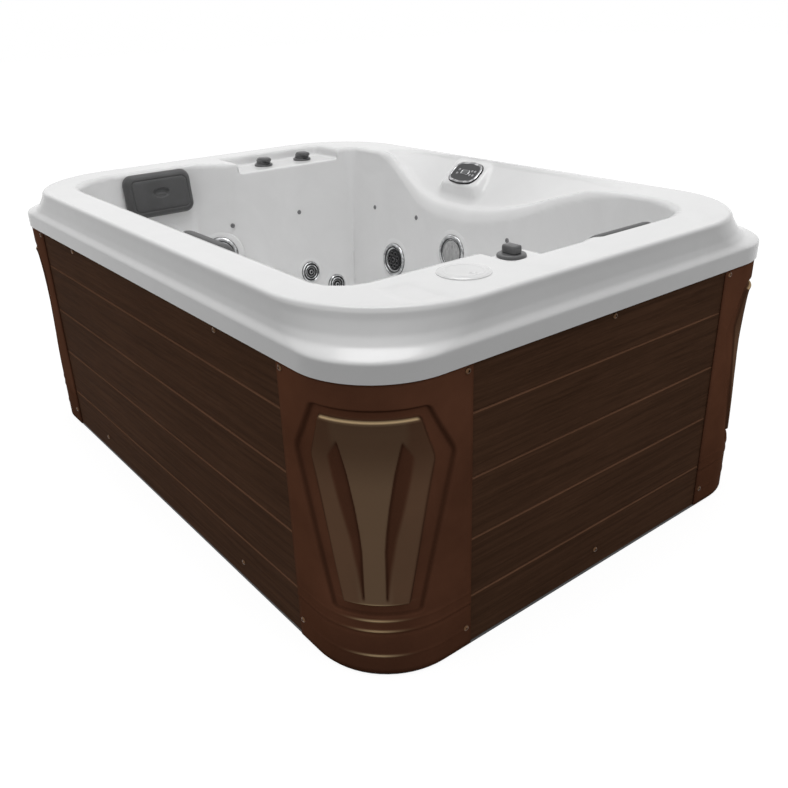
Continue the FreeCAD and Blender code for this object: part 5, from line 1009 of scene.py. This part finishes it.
def panel_relief(across, level, depth):
    """Height of the corner relief: a sunken six-sided frame, a raised shield whose face is
    hollowed by its height, two curved flutes that end in a sharp edge, and beads below. With it
    the shares of gold on the face, of painted shade in the creases, the flutes, under the shield's
    top and towards the bottom, and of painted highlights on the shield's top edge, its foot and
    the beads."""
    frame_edge = six_sides(across, level, (122.0, 173.0, 100.0), (673.0, 550.0, 173.0), 8.0)
    shield_edge = six_sides(across, level, (106.0, 136.0, 76.0),
                            (SHIELD_TOP, 550.0, SHIELD_FOOT), 6.0)
    sunk = smooth_share(0.5 - frame_edge / 9.0)
    raised = smooth_share(0.5 - shield_edge / 8.0)
    share = (level - SHIELD_FOOT) / (SHIELD_TOP - SHIELD_FOOT)
    hollow = np.interp(share, (0.0, 0.13, 0.25, 0.4, 0.55, 0.68, 0.80, 0.88, 0.94, 1.0),
                       (0.0, 1.0, 2.6, 5.2, 7.0, 6.9, 5.6, 3.8, 1.9, -1.8))
    wide = np.abs(across)
    inner = np.interp(level, (208.0, 339.0, 384.0, 443.0, 526.0, 604.0),
                      (24.5, 26.0, 30.0, 38.0, 52.0, 70.0))
    outer = np.interp(level, (208.0, 294.0, 369.0, 443.0, 511.0, 570.0),
                      (27.0, 38.0, 51.0, 70.0, 85.0, 94.0))
    slide = np.clip((wide - inner) / np.maximum(outer - inner, 1.0), 0.0, 1.0)
    fade = smooth_share((604.0 - (wide - 70.0) * 1.57 - level) / 14.0)
    fade = fade * smooth_share((level - 206.0) / 12.0)
    flute = smooth_share((wide - inner) / 3.5 + 0.5) * (1.0 - slide) * fade * 5.5
    height = -depth * sunk + raised * (depth - hollow - flute)
    height = height + 1.6 * raised * smooth_share(1.0 - np.abs(level - 648.0) / 9.0)
    plain = 1.0 - sunk
    for bead, size in BEADS:
        height = height + size * plain * bell(level - bead, 3.2)
    height = height - 1.8 * plain * bell(level - 121.0, 4.0)
    flute_share = fade * smooth_share((wide - inner) / 5.0 + 0.5)
    flute_share = flute_share * smooth_share((outer - wide) / 12.0 + 0.5)
    # Painted shade: darker in the flutes, with a dark line along each flute's sharp edge.
    painted_shade = 0.45 * flute_share + 0.5 * fade * bell(wide - inner - 2.0, 3.0) * raised
    # Painted shade: dark lines in the creases round the frame and the shield.
    for edge in (frame_edge, shield_edge):
        painted_shade = np.maximum(painted_shade, 0.75 * smooth_share(1.0 - np.abs(edge + 1.0) / 6.0))
    # Painted shade: darker on the shield's upper face, under its top edge.
    head = smooth_share((level - 470.0) / 130.0) * smooth_share((645.0 - level) / 4.0)
    painted_shade = np.maximum(painted_shade, 0.5 * raised * head)
    # Painted shade: darker towards the bottom of the panel, outside the shield.
    painted_shade = np.maximum(painted_shade, 0.4 * smooth_share((230.0 - level) / 190.0) * (1.0 - raised))
    # Painted highlights: a light line on the shield's top edge, and short ones on its foot and the
    # beads.
    bright = smooth_share(1.0 - np.abs(level - 650.0) / 3.0) * smooth_share((104.0 - wide) / 8.0)
    for bead in (FACE_FOOT, *(bead for bead, size in BEADS)):
        bright = np.maximum(bright, 0.95 * bell(level - bead, 2.4) * bell(wide, 44.0))
    gold = raised * (1.0 - flute_share) * (1.0 - 0.45 * smooth_share((wide - inner) / 20.0))
    return np.minimum(height, 3.6), (gold, painted_shade, bright)


def panel_surface(side_x, side_y, depth):
    """Corner panel: a sheet carried round the corner's straight, arc and straight, moved
    out by the relief, and given its thickness by a second skin behind it."""
    run = np.concatenate([(-244.9, -232.0, -221.0), np.arange(-213.2, 213.3, 2.6),
                          (221.0, 232.0, 244.9)])
    level = np.concatenate([(8.0, 22.0, 36.0), np.arange(48.0, 686.0, 2.7),
                            (692.0, 705.0, 718.0, 732.0)])
    arc = PANEL_RADIUS * math.pi / 4.0
    angle = np.clip(run, -arc, arc) / PANEL_RADIUS
    past = run - np.clip(run, -arc, arc)
    turn = angle + math.pi / 4.0
    out = np.stack([np.cos(turn), np.sin(turn)], 1)
    plan = PANEL_CENTRE + PANEL_RADIUS * out
    plan = plan + past[:, None] * np.stack([-np.sin(turn), np.cos(turn)], 1)
    across = (plan - PANEL_CENTRE) @ np.array((-1.0, 1.0)) / math.sqrt(2.0)
    relief, painted = panel_relief(across[None, :], level[:, None], depth)
    shares = {name: np.tile((share + relief * 0.0).ravel(), 2)
              for name, share in zip(("gold_share", "painted_shade_share", "painted_highlight_and_plating_share"), painted)}
    skins = []
    for back in (0.0, 4.0):
        reach = np.where(back > 0, np.minimum(relief, 0.0) * 0.9 - back, relief)
        x = (plan[:, 0] + out[:, 0] * reach) * side_x
        y = (plan[:, 1] + out[:, 1] * reach) * side_y
        skins.append(np.stack([x, y, level[:, None] + x * 0.0], 2))
    rows, columns = len(level), len(run)
    count = rows * columns
    quads = grid_quads(rows, columns, False)
    index = np.arange(count).reshape(rows, columns)
    edge = np.concatenate([index[0], index[1:, -1], index[-1, -2::-1], index[-2:0:-1, 0]])
    after = np.roll(edge, -1)
    strip = np.stack([edge, after, after + count, edge + count], 1)
    points = np.concatenate([skin.reshape(-1, 3) for skin in skins])
    quads = np.concatenate([quads, quads[:, ::-1] + count, strip])
    return (points, quads, NO_TRIANGLES), shares


def disc_surface(radii, sides, height, foot):
    """Disc whose top follows a height worked out from radius and angle on a polar grid,
    with an upright edge and a flat back at the foot's level."""
    angle = np.linspace(0.0, 2 * math.pi, sides, endpoint=False)
    radius = np.asarray(radii, float)[::-1, None] + angle * 0.0
    level = height(radius, angle + radius * 0.0)
    top = np.stack([radius * np.cos(angle), radius * np.sin(angle), level], 2)
    wall = top[:1].copy()
    wall[:, :, 2] = foot
    back = wall * np.array((0.5, 0.5, 1.0))
    return loft(np.concatenate([back, wall, top]))


def nozzle_distance(radius, angle):
    """Distance to the nearest of the nozzles that stand in a circle on a jet face."""
    turn = (angle * NOZZLES / (2 * math.pi)) % 1.0 - 0.5
    near = turn * 2 * math.pi / NOZZLES
    return np.hypot(radius * np.cos(near) - NOZZLE_CIRCLE, radius * np.sin(near))


def rosette_height(radius, angle):
    """Jet face: low dome, eight nozzles each a raised collar round a deep hole, a groove
    and a domed hub with a hole of its own."""
    away = nozzle_distance(radius, angle)
    level = 6.2 - 2.6 * smooth_share((radius - 37.0) / 6.0)
    level = level + 1.5 * bell(away - 7.6, 1.5)
    level = level - 8.5 * smooth_share((6.4 - away) / 1.8)
    level = level - 2.2 * bell(radius - 14.5, 2.2)
    level = level + 2.8 * smooth_share((11.5 - radius) / 3.5)
    return level - 6.0 * smooth_share((4.6 - radius) / 1.6)


def groove_share(surface, bands):
    """Share that is full inside the given bands of radius and falls off within a millimetre."""
    radius = np.hypot(surface[0][:, 0], surface[0][:, 1])
    share = radius * 0.0
    for inner, outer in bands:
        share = np.maximum(share, np.clip(np.minimum(radius - inner, outer - radius) + 0.5,
                                          0.0, 1.0))
    return share


def collar_share(surface):
    """Bright share of a jet face: the collars round its nozzles and its hub."""
    x, y, level = surface[0].T
    radius = np.hypot(x, y)
    collars = 0.22 * bell(nozzle_distance(radius, np.arctan2(y, x)) - 7.8, 1.1)
    share = np.maximum(collars, 0.26 * bell(radius - 8.5, 1.3))
    return np.where(level > -1.0, share, 0.0)


def lens_height(radius, angle):
    """Light lens: a dome crossed by fine upright flutes that fade to the edge."""
    dome = 3.4 + 7.0 * (1.0 - (radius / 48.0) ** 2)
    ribs = 0.35 * np.cos(radius * np.cos(angle) * 1.6)
    return dome + ribs * smooth_share((46.0 - radius) / 6.0)


def lid_height(radius, angle):
    """Filter lid: level middle, a raised ring, a stepped edge and a finger dimple."""
    level = 4.0 + 0.9 * bell(radius - 45.0, 2.6)
    level = level - 2.0 * smooth_share((radius - 56.0) / 6.0)
    away = np.hypot(radius * np.cos(angle) - 30.0, radius * np.sin(angle))
    return level - 2.4 * smooth_share((11.0 - away) / 6.0)


def cover_height(radius, angle):
    """Suction cover: a dome cut by rings of slots."""
    dome = 4.0 + 10.0 * np.sqrt(np.clip(1.0 - (radius / 41.0) ** 2, 0.0, 1.0))
    slots = smooth_share((np.cos(radius * 0.9) - 0.2) / 0.5)
    ribs = smooth_share((np.abs(np.sin(angle * 6.0)) - 0.18) / 0.15)
    return dome - 2.6 * slots * ribs * smooth_share((37.0 - radius) / 3.0)


def divided(loop, steps, extra):
    """Loop with more points along the straight sides between its corner arcs."""
    sides = [np.concatenate([np.arange(steps), steps - 1 + np.linspace(0, 1, extra + 2)[1:-1]])
             + corner * steps for corner in range(4)]
    at = np.concatenate(sides)
    closed = np.concatenate([loop, loop[:1]])
    count = np.arange(len(closed))
    return np.stack([np.interp(at, count, closed[:, axis]) for axis in range(3)], 1)


def pillow_surface(dimple_depth):
    """Moulded pillow: rounded rectangles drawn in by a profile of inset and level, with a
    channel round the inner panel and an oval dimple that a tongue fills from below."""
    profile = softened([(30.0, 0.0), (6.0, 0.0), (0.5, 7.0), (0.0, 14.0), (3.0, 26.0),
                        (9.0, 35.5), (15.0, 39.0), (20.5, 40.4), (23.2, 37.4), (26.0, 40.8),
                        (34.0, 42.6)], 3.5, 3)
    half_x, half_y, radius = PILLOW
    loops = [divided(box_loop(half_x - inset, half_y - inset, max(radius - inset * 0.6, 12.0),
                              level), 8, 30) for inset, level in profile]
    rim = loops[-1]
    for share in np.linspace(0.97, 0.04, 40):
        loop = rim * np.array((share, share, 1.0))
        x, y = loop[:, 0] / 35.0, (loop[:, 1] - 6.0) / 19.0
        bowl = smooth_share((1.0 - np.hypot(x, y)) / 0.3)
        tongue = smooth_share((1.0 - np.hypot(loop[:, 0] / 27.0, (loop[:, 1] + 3.0) / 11.0)) / 0.5)
        loop[:, 2] += 1.4 * (1.0 - share ** 2) - dimple_depth * (bowl - 0.75 * tongue * bowl)
        loops.append(loop)
    return loft(loops)


def teardrop_loop(grow, level, lean):
    """Loop round a big circle and a small one with straight sides between them."""
    distance, root, tip = 35.0, 19.0 + grow, 8.0 + grow
    angle = math.acos((root - tip) / distance)
    around = np.linspace(angle, 2 * math.pi - angle, 30)
    head = np.linspace(-angle, angle, 18)
    big = np.stack([root * np.cos(around), root * np.sin(around)], 1)
    small = np.stack([distance + tip * np.cos(head), tip * np.sin(head)], 1)
    plan = np.concatenate([big, small])
    return np.column_stack([plan, level + lean * plan[:, 0]])


def spindle_surface(rotor, foot):
    """Spindle under a knob, widening to its rotor in the valve below."""
    return turned([(0, foot), (rotor, foot), (rotor, -30.6), (7.9, -30.6), (7.9, 9.5),
                   (0, 9.5)], 1.0, 32)


def knob_surface():
    """Diverter knob: a turned cap with a groove, a leaf-shaped lever that rises towards its
    tip with rounded edges, and the spindle and rotor below."""
    cap = turned([(0, 9.4), (27.0, 9.4), (28.0, 11.0), (28.0, 15.0), (25.6, 16.2),
                  (25.6, 17.4), (27.4, 18.4), (27.4, 21.4), (24.5, 24.6), (18.0, 26.2),
                  (0, 26.6)], 1.8, 56)
    rows = ((0.0, 19.0, 0.0), (3.8, 20.2, 0.0), (5.4, 22.4, 0.02), (5.8, 25.4, 0.04),
            (4.8, 28.2, 0.05), (2.4, 30.6, 0.06), (-2.0, 32.2, 0.06))
    lever = loft([teardrop_loop(grow, level, lean) for grow, level, lean in rows])
    return joined([cap, lever, spindle_surface(22, -80.0)])


def air_knob_surface():
    """Air control: a rounded block cap with finger hollows along its long sides."""
    loops = []
    for inset, level in softened([(2.0, 9.4), (0.0, 10.4), (0.0, 24.0), (1.4, 28.0),
                                  (6.0, 29.2), (10.0, 29.4)], 2.2, 4):
        loop = box_loop(22.0, 15.0, 7.0, level, -min(inset, 6.0))
        if inset > 6.0:
            loop = loop * np.array((0.5, 0.5, 1.0))
        pinch = 1.0 - 0.13 * bell(loop[:, 0], 9.0) * (level > 11.0)
        loop[:, 1] = loop[:, 1] * pinch
        loops.append(loop)
    return joined([loft(loops), spindle_surface(14, -64.0)])


def bezel_surface():
    """Bezel of the control panel: a rounded profile carried round the bulged outline."""
    corners = [(-62.0, -33.0), (0.0, -41.0), (62.0, -33.0), (62.0, 33.0), (0.0, 41.0),
               (-62.0, 33.0)]
    radii = [26.0, 90.0, 26.0] * 2
    profile = softened([(0.0, 0.0), (13.0, 0.0), (13.0, 2.0), (10.5, 5.6), (6.5, 7.0),
                        (2.5, 6.4), (0.0, 5.2)], 1.6, 3, True)
    return ring_loft([corner_loop(corners, radii, grow, level, 10) for grow, level in profile])


def colour_setting(name, part, default):
    """Colour property of one part of the tub."""
    return bpy.props.FloatVectorProperty(
        name=name, description="Colour of " + part, subtype="COLOR", size=3,
        default=default, min=0.0, max=1.0)


class HotTubSettings(bpy.types.PropertyGroup):
    """Sizes, colours and lights that a user may change"""
    relief_depth: bpy.props.FloatProperty(
        name="Relief depth", description="How far the frame of a corner panel is sunk",
        default=0.010, min=0.002, max=0.012, subtype="DISTANCE", unit="LENGTH")
    dimple_depth: bpy.props.FloatProperty(
        name="Pillow dimple", description="Depth of the dimple in a head pillow",
        default=0.008, min=0.0, max=0.012, subtype="DISTANCE", unit="LENGTH")
    acrylic: colour_setting("Acrylic", "the shell", (0.83, 0.83, 0.83))
    board: colour_setting("Skirt boards", "the skirt boards", (0.098, 0.049, 0.0285))
    moulding: colour_setting("Corner panels", "the moulded corners", (0.134, 0.055, 0.0310))
    rubbed_gold: colour_setting("Rubbed gold", "the raised shield in a corner panel",
                                (0.215, 0.136, 0.082))
    pillow: colour_setting("Pillows", "the head pillows", (0.074, 0.074, 0.075))
    fitting: colour_setting("Knobs", "the knobs and their flanges", (0.100, 0.100, 0.102))
    internals: colour_setting("Jet internals", "the turning jet faces", (0.018, 0.018, 0.019))
    screw: colour_setting("Screws", "the skirt screws", (0.12, 0.065, 0.035))
    key_power: bpy.props.FloatProperty(
        name="Overhead light", description="Power of the large overhead light",
        default=30.0, min=0.0, unit="POWER")
    side_power: bpy.props.FloatProperty(
        name="Side lights", description="Power of each soft side light", default=5.0,
        min=0.0, unit="POWER")
    room_light: bpy.props.FloatProperty(
        name="Room light", description="Strength of the even light all round",
        default=0.46, min=0.0, max=1.0)


class PieceOperator:
    """Shared ground of the operators that build pieces."""
    bl_options = {"REGISTER", "UNDO"}

    @classmethod
    def poll(cls, context):
        return context.scene is not None


class HOTTUB_OT_finishes(PieceOperator, bpy.types.Operator):
    """Make the finishes and put them on the CAD nodes"""
    bl_idname = "hottub.finishes"
    bl_label = "Finishes"

    def execute(self, context):
        make_finishes(context.scene.hot_tub)
        paint_nodes()
        return {"FINISHED"}


class HOTTUB_OT_shell(PieceOperator, bpy.types.Operator):
    """Build the acrylic shell"""
    bl_idname = "hottub.shell"
    bl_label = "Acrylic shell"

    def execute(self, context):
        surface, normals = shell_surface()
        add_piece("acrylic_shell", surface, "tub", "acrylic", ["tub_shell"], normals=normals)
        add_piece("acrylic_lip", lip_surface(), "tub", "acrylic", ["tub_shell"])
        return {"FINISHED"}


class HOTTUB_OT_corner_panels(PieceOperator, bpy.types.Operator):
    """Build the four moulded corner panels"""
    bl_idname = "hottub.corner_panels"
    bl_label = "Corner panels"

    def execute(self, context):
        depth = context.scene.hot_tub.relief_depth / MM
        for side_x, side_y, place in ((1, -1, "filter_end_front"), (1, 1, "filter_end_rear"),
                                      (-1, -1, "knob_end_front"), (-1, 1, "knob_end_rear")):
            surface, shares = panel_surface(side_x, side_y, depth)
            add_piece("corner_moulding_" + place, surface, "tub", "corner_moulding",
                      ["corner_panels"], 100.0, shares=shares)
        return {"FINISHED"}


class HOTTUB_OT_screws(PieceOperator, bpy.types.Operator):
    """Build the domed screws of the skirt"""
    bl_idname = "hottub.screws"
    bl_label = "Skirt screws"

    def execute(self, context):
        head = turned([(0, 1.4), (2.4, 1.4), (2.6, 4.3), (4.6, 3.9), (6.6, 2.6), (7.5, 0.9),
                       (7.5, 0.0), (3.0, 0.0), (3.0, -30.0), (0, -34.0)], 0.5, 24, 2)
        places = []
        for level in SCREW_LEVELS:
            for x in (-1.0, 1.0):
                for y in (-1.0, 1.0):
                    for (along, over), outward in ((LONG_SIDE_SCREW, (0, y, 0)),
                                                   (END_SCREW, (x, 0, 0)),
                                                   (BOARD_SCREW, (0, y, 0))):
                        places.append(side_frame(along * x, over * y, level, outward))
                places.append(side_frame(END_MIDDLE_SCREW * x, 0.0, level, (x, 0, 0)))
        add_piece("skirt_screw_heads", copies(head, places), "tub", "bronze_screw",
                  ["skirt_screws"])
        return {"FINISHED"}


class HOTTUB_OT_pillows(PieceOperator, bpy.types.Operator):
    """Build the three head pillows"""
    bl_idname = "hottub.pillows"
    bl_label = "Head pillows"

    def execute(self, context):
        surface = pillow_surface(context.scene.hot_tub.dimple_depth / MM)
        for node, place in PILLOW_FRAMES.items():
            piece = add_piece("moulded_" + node, placed(surface, place), node + "_body",
                              "pillow_foam", [node], 70.0)
        return {"FINISHED"}


class HOTTUB_OT_jets(PieceOperator, bpy.types.Operator):
    """Build the jets' chrome rings, rosettes and eyes, and the light"""
    bl_idname = "hottub.jets"
    bl_label = "Jets and light"

    def execute(self, context):
        large = turned([(60, -1), (67, -1), (67, 3.4), (65, 7.4), (61.5, 10.2), (57.5, 10.6),
                        (55.5, 8.6), (50, 5.8), (46.4, 4.6), (44.0, 3.4), (44.0, -5),
                        (54, -5)], 1.2, 72, 2, True)
        small = turned([(37, -1), (43, -1), (43, 3.6), (41, 8.0), (38, 10.2), (35.6, 8.6),
                        (34.4, 4.6), (32.0, 4.6), (30.4, 8.4), (27.4, 10.4), (24.6, 8.4),
                        (22.6, 3.0), (22.6, -5), (32, -5)], 0.9, 60, 2, True)
        lamp = turned([(62, -1), (68, -1), (68, 2.6), (65.6, 6.2), (61, 8.0), (56, 7.2),
                       (51.4, 4.6), (48.2, 3.8), (48.2, -3), (58, -3)], 1.2, 72, 2, True)
        wide = turned([(46, -7), (46, 2.2), (67, 2.6), (73, 2.3), (80, 1.0), (88, -0.5),
                       (90, -7)], 3.0, 80, 4, True)
        narrow = turned([(25, -7), (25, 2.2), (43, 2.6), (48, 2.2), (54, 0.8), (60, -0.5),
                         (62, -7)], 3.0, 64, 4, True)
        pads = [copies(wide, LARGE_JETS + [LIGHT]), copies(narrow, SMALL_JETS)]
        add_piece("jet_pads", joined(pads), "tub", "acrylic", ["tub_shell"])
        rings = [copies(large, LARGE_JETS), copies(small, SMALL_JETS), placed(lamp, LIGHT)]
        # Painted shade: near black bands in the rings' grooves and round their inner and outer
        # edges.
        painted_shade = [groove_share(large, ((48.5, 54.5), (66.0, 80.0)))] * len(LARGE_JETS)
        small_painted_shade_bands = ((20.0, 25.2), (30.2, 35.0), (41.8, 60.0))
        painted_shade += [groove_share(small, small_painted_shade_bands)] * len(SMALL_JETS)
        painted_shade += [groove_share(lamp, ((50.5, 55.0), (67.0, 80.0)))]
        add_piece("chrome_rings", joined(rings), "tub", "chrome_trim", ["jet_rings"],
                  shares={"painted_shade_share": np.concatenate(painted_shade)})
        radii = np.concatenate([np.linspace(0.4, 12.0, 14), np.linspace(12.8, 43.0, 40)])
        pin = turned([(0, -61), (5.9, -61), (5.9, -1.0), (0, -1.0)], 0.8, 24)
        face = joined([disc_surface(radii, 96, rosette_height, -2.0), pin])
        add_numbered("rosette", "jet_face", "jet_face", face, LARGE_JETS, "jet_black",
                     {"painted_highlight_and_plating_share": collar_share(face)})
        eye = turned([(0, 1.6), (3.4, 1.6), (4.2, 6.6), (6.2, 8.8), (8.8, 8.4), (10.0, 4.4),
                      (13.0, 3.2), (17.5, 5.4), (20.4, 4.6), (21.6, 1.0), (21.6, -2.0),
                      (5.9, -2.0), (5.9, -61), (0, -61)], 0.9, 56, 2)
        add_numbered("eyeball", "jet_eye", "jet_eye", eye, SMALL_JETS, "jet_black",
                     {"painted_highlight_and_plating_share": groove_share(eye, ((6.2, 8.8), (17.4, 19.0)))})
        lens = disc_surface(np.linspace(0.5, 48.0, 48), 120, lens_height, 0.0)
        add_piece("light_dome", placed(lens, LIGHT), "tub", "lens_plastic", ["light_lens"])
        return {"FINISHED"}


class HOTTUB_OT_controls(PieceOperator, bpy.types.Operator):
    """Build the two diverter knobs, the air control and their flanges"""
    bl_idname = "hottub.controls"
    bl_label = "Knobs"

    def execute(self, context):
        flange = turned([(9, 0), (36, 0), (36, 4.6), (34.8, 7.4), (31.6, 8.8), (28.6, 9.2),
                         (9, 9.2)], 1.6, 64, 3, True)
        add_piece("knob_flanges", copies(flange, KNOBS + [AIR_KNOB]), "tub", "control_grey",
                  ["control_flanges"])
        add_numbered("lever_knob", "diverter", "diverter_knob", knob_surface(), KNOBS,
                     "control_grey")
        add_piece("block_knob", placed(air_knob_surface(), AIR_KNOB), "air_control",
                  "control_grey", ["air_knob"])
        return {"FINISHED"}


class HOTTUB_OT_display(PieceOperator, bpy.types.Operator):
    """Build the control panel's bezel and its six buttons"""
    bl_idname = "hottub.display"
    bl_label = "Control panel"

    def execute(self, context):
        bezel = bezel_surface()
        # Painted shade: the bezel is near black below its crest and bright only along the top.
        painted_shade = np.clip((6.0 - bezel[0][:, 2]) / 0.8, 0.0, 1.0)
        add_piece("panel_bezel", placed(bezel, DISPLAY), "tub", "satin_trim",
                  ["display_bezel"], shares={"painted_shade_share": painted_shade})
        pane = loft([box_loop(half_x, half_y, 2.6, level)
                     for half_x, half_y, level in ((17.8, 8.8, 2.2), (17.8, 8.8, 6.0),
                                                   (17.2, 8.2, 6.5), (10.0, 4.0, 6.7))])
        add_piece("window_pane", placed(pane, DISPLAY), "tub", "display_glass",
                  ["display_window"])
        profile = softened([(0.0, 4.6), (0.0, 6.6), (0.9, 7.3), (1.9, 6.6), (2.4, 4.6)],
                           0.5, 2, True)
        surround = ring_loft([box_loop(18.0, 9.0, 3.0, level, grow) for grow, level in profile])
        add_piece("window_surround", placed(surround, DISPLAY), "tub", "satin_trim",
                  ["display_window"])
        button = turned([(0, 6.5), (2.6, 6.4), (4.4, 6.0), (5.4, 5.2), (5.5, 1.4), (7.0, 1.3),
                         (7.0, -0.1), (2.7, -0.2), (2.7, -4.8), (0, -4.8)], 0.4, 36, 2)
        origin, across, rise, out = DISPLAY
        places = [(origin + across * x + rise * y, across, rise, out)
                  for x in (-38.0, 29.0, 45.0) for y in (-9.0, 9.0)]
        add_numbered("panel_button", "button", "display_button", button, places,
                     "button_plastic")
        return {"FINISHED"}


class HOTTUB_OT_fittings(PieceOperator, bpy.types.Operator):
    """Build the filter's neck and lid, the suction covers and the air injectors"""
    bl_idname = "hottub.fittings"
    bl_label = "Fittings"

    def execute(self, context):
        neck = lathe([(54.6, -8.0), (54.6, 0.2), (55.0, 0.28), (64.0, 0.28), (70.0, 0.1),
                      (74.0, -0.5), (74.0, -8.0)], 96, True)
        add_piece("filter_neck", placed(neck, FILTER), "tub", "acrylic", ["tub_shell"])
        lid = disc_surface(np.linspace(0.6, 62.0, 52), 96, lid_height, 0.3)
        plug = turned([(0, -14), (53.5, -14), (53.5, 0.5), (0, 0.5)], 1.5, 64)
        add_piece("filter_cover", placed(joined([lid, plug]), FILTER), "filter_lid_body",
                  "acrylic_trim", ["filter_lid"])
        cover = disc_surface(np.linspace(0.6, 40.0, 60), 96, cover_height, 0.0)
        add_piece("suction_domes", copies(cover, SUCTIONS), "tub", "fitting_grey",
                  ["suction_covers"])
        nozzle = turned([(0, 0.6), (2.6, 0.6), (3.4, 2.9), (6.4, 2.6), (8.8, 0.9), (9.0, 0.0),
                         (6.0, 0.0), (6.0, -25), (0, -25)], 0.4, 28, 2)
        add_piece("air_nozzles", copies(nozzle, INJECTORS), "tub", "fitting_grey",
                  ["air_injectors"])
        return {"FINISHED"}


def stage_shader(name, colour, glow):
    """Diffuse surface that keeps shadows, with a glow that only the camera, metal and
    glass see: a Light Path value times the glow's strength."""
    finish = Finish(name)
    cloud = finish.noise(0.7, 3.0, 0.5)
    tone = finish.mixed(cloud, tinted(colour, 0.985), colour)
    diffuse = finish.node("ShaderNodeBsdfDiffuse", 0, None, {"Color": tone})
    light = finish.node("ShaderNodeEmission", 0, None,
                        {"Color": WHITE, "Strength": finish.seen() * glow})
    return finish.shown(finish.node("ShaderNodeAddShader", 0, None, {0: diffuse, 1: light}))


def pale_world(room_light):
    """World that lights the tub evenly, more from above, and is white to the camera."""
    finish = Finish("pale_surroundings", "worlds")
    aim = finish.node("ShaderNodeTexCoord", "Generated")
    height = finish.node("ShaderNodeSeparateXYZ", "Z", None, {"Vector": aim})
    room = (0.1 + 1.75 * height.share(0.0, 1.0)) * room_light
    strength = room + finish.seen() * (1.0 - room)
    light = finish.node("ShaderNodeBackground", 0, None, {"Color": WHITE, "Strength": strength})
    return finish.shown(light, "World")


def add_camera(scene):
    """The camera that was fitted to the photo."""
    camera = bpy.data.objects.new("photo_camera", bpy.data.cameras.new("photo_camera"))
    scene.collection.objects.link(camera)
    camera.data.lens, camera.data.sensor_width = 38.07, 36.0
    camera.data.clip_start, camera.data.clip_end = 0.05, 100.0
    right, up, ahead = ((0.6229, 0.7817, -0.0297), (-0.314, 0.2846, 0.9058),
                        (-0.7165, 0.5549, -0.4227))
    place = (2.1708, -1.5332, 1.3914)
    rows = [(right[i], up[i], -ahead[i], place[i]) for i in range(3)]
    camera.matrix_world = Matrix((*rows, (0.0, 0.0, 0.0, 1.0)))
    scene.camera = camera


def add_floor(scene):
    """Wide level floor that isn't part of the tub."""
    count = 25
    side = np.linspace(-30.0, 30.0, count)
    x, y = np.meshgrid(side, side, indexing="ij")
    points = np.stack([x, y, x * 0.0], 2).reshape(-1, 3)
    mesh = bpy.data.meshes.new("studio_floor")
    quads = grid_quads(count, count, False)[:, ::-1]
    mesh.from_pydata(points.tolist(), [], quads.tolist())
    mesh.materials.append(stage_shader("pale_floor", (0.26, 0.26, 0.26), 0.9))
    floor = bpy.data.objects.new("studio_floor", mesh)
    scene.collection.objects.link(floor)


def add_lamp(scene, name, where, size, power):
    """Round area lamp turned towards the middle of the tub."""
    data = bpy.data.lights.new(name, "AREA")
    data.shape, data.size, data.energy = "DISK", size, power
    lamp = bpy.data.objects.new(name, data)
    scene.collection.objects.link(lamp)
    aim = Vector(LAMP_TARGET) - Vector(where)
    lamp.matrix_world = (Matrix.Translation(where)
                         @ aim.to_track_quat("-Z", "Y").to_matrix().to_4x4())


class HOTTUB_OT_stage(PieceOperator, bpy.types.Operator):
    """Make the camera, the floor, the lights and the pale surroundings"""
    bl_idname = "hottub.stage"
    bl_label = "Stage"

    def execute(self, context):
        scene, settings = context.scene, context.scene.hot_tub
        scene.view_settings.view_transform = "Standard"
        add_camera(scene)
        add_floor(scene)
        scene.world = pale_world(settings.room_light)
        add_lamp(scene, "overhead_light", (0.0, 0.0, 3.4), 1.6, settings.key_power)
        add_lamp(scene, "front_side_light", (0.6, -4.2, 1.6), 2.4, settings.side_power)
        add_lamp(scene, "end_side_light", (4.4, 0.4, 1.7), 2.4, settings.side_power)
        return {"FINISHED"}


STEPS = (HOTTUB_OT_stage, HOTTUB_OT_finishes, HOTTUB_OT_shell, HOTTUB_OT_corner_panels,
         HOTTUB_OT_screws, HOTTUB_OT_pillows, HOTTUB_OT_jets, HOTTUB_OT_controls,
         HOTTUB_OT_display, HOTTUB_OT_fittings)


class HOTTUB_PT_panel(bpy.types.Panel):
    """Sidebar panel with the settings and one button for each step"""
    bl_idname = "HOTTUB_PT_panel"
    bl_label = "Hot tub"
    bl_space_type = "VIEW_3D"
    bl_region_type = "UI"
    bl_category = "Hot tub"

    def draw(self, context):
        column = self.layout.column()
        for name in HotTubSettings.__annotations__:
            column.prop(context.scene.hot_tub, name)
        for step in STEPS:
            column.operator(step.bl_idname)


CLASSES = (HotTubSettings, *STEPS, HOTTUB_PT_panel)


def register():
    for item in CLASSES:
        bpy.utils.register_class(item)
    bpy.types.Scene.hot_tub = bpy.props.PointerProperty(type=HotTubSettings)


def unregister():
    del bpy.types.Scene.hot_tub
    for item in reversed(CLASSES):
        bpy.utils.unregister_class(item)


def main():
    """Registers the add-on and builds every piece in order."""
    register()
    for step in STEPS:
        group, name = step.bl_idname.split(".")
        getattr(getattr(bpy.ops, group), name)()


if __name__ == "__main__":
    main()
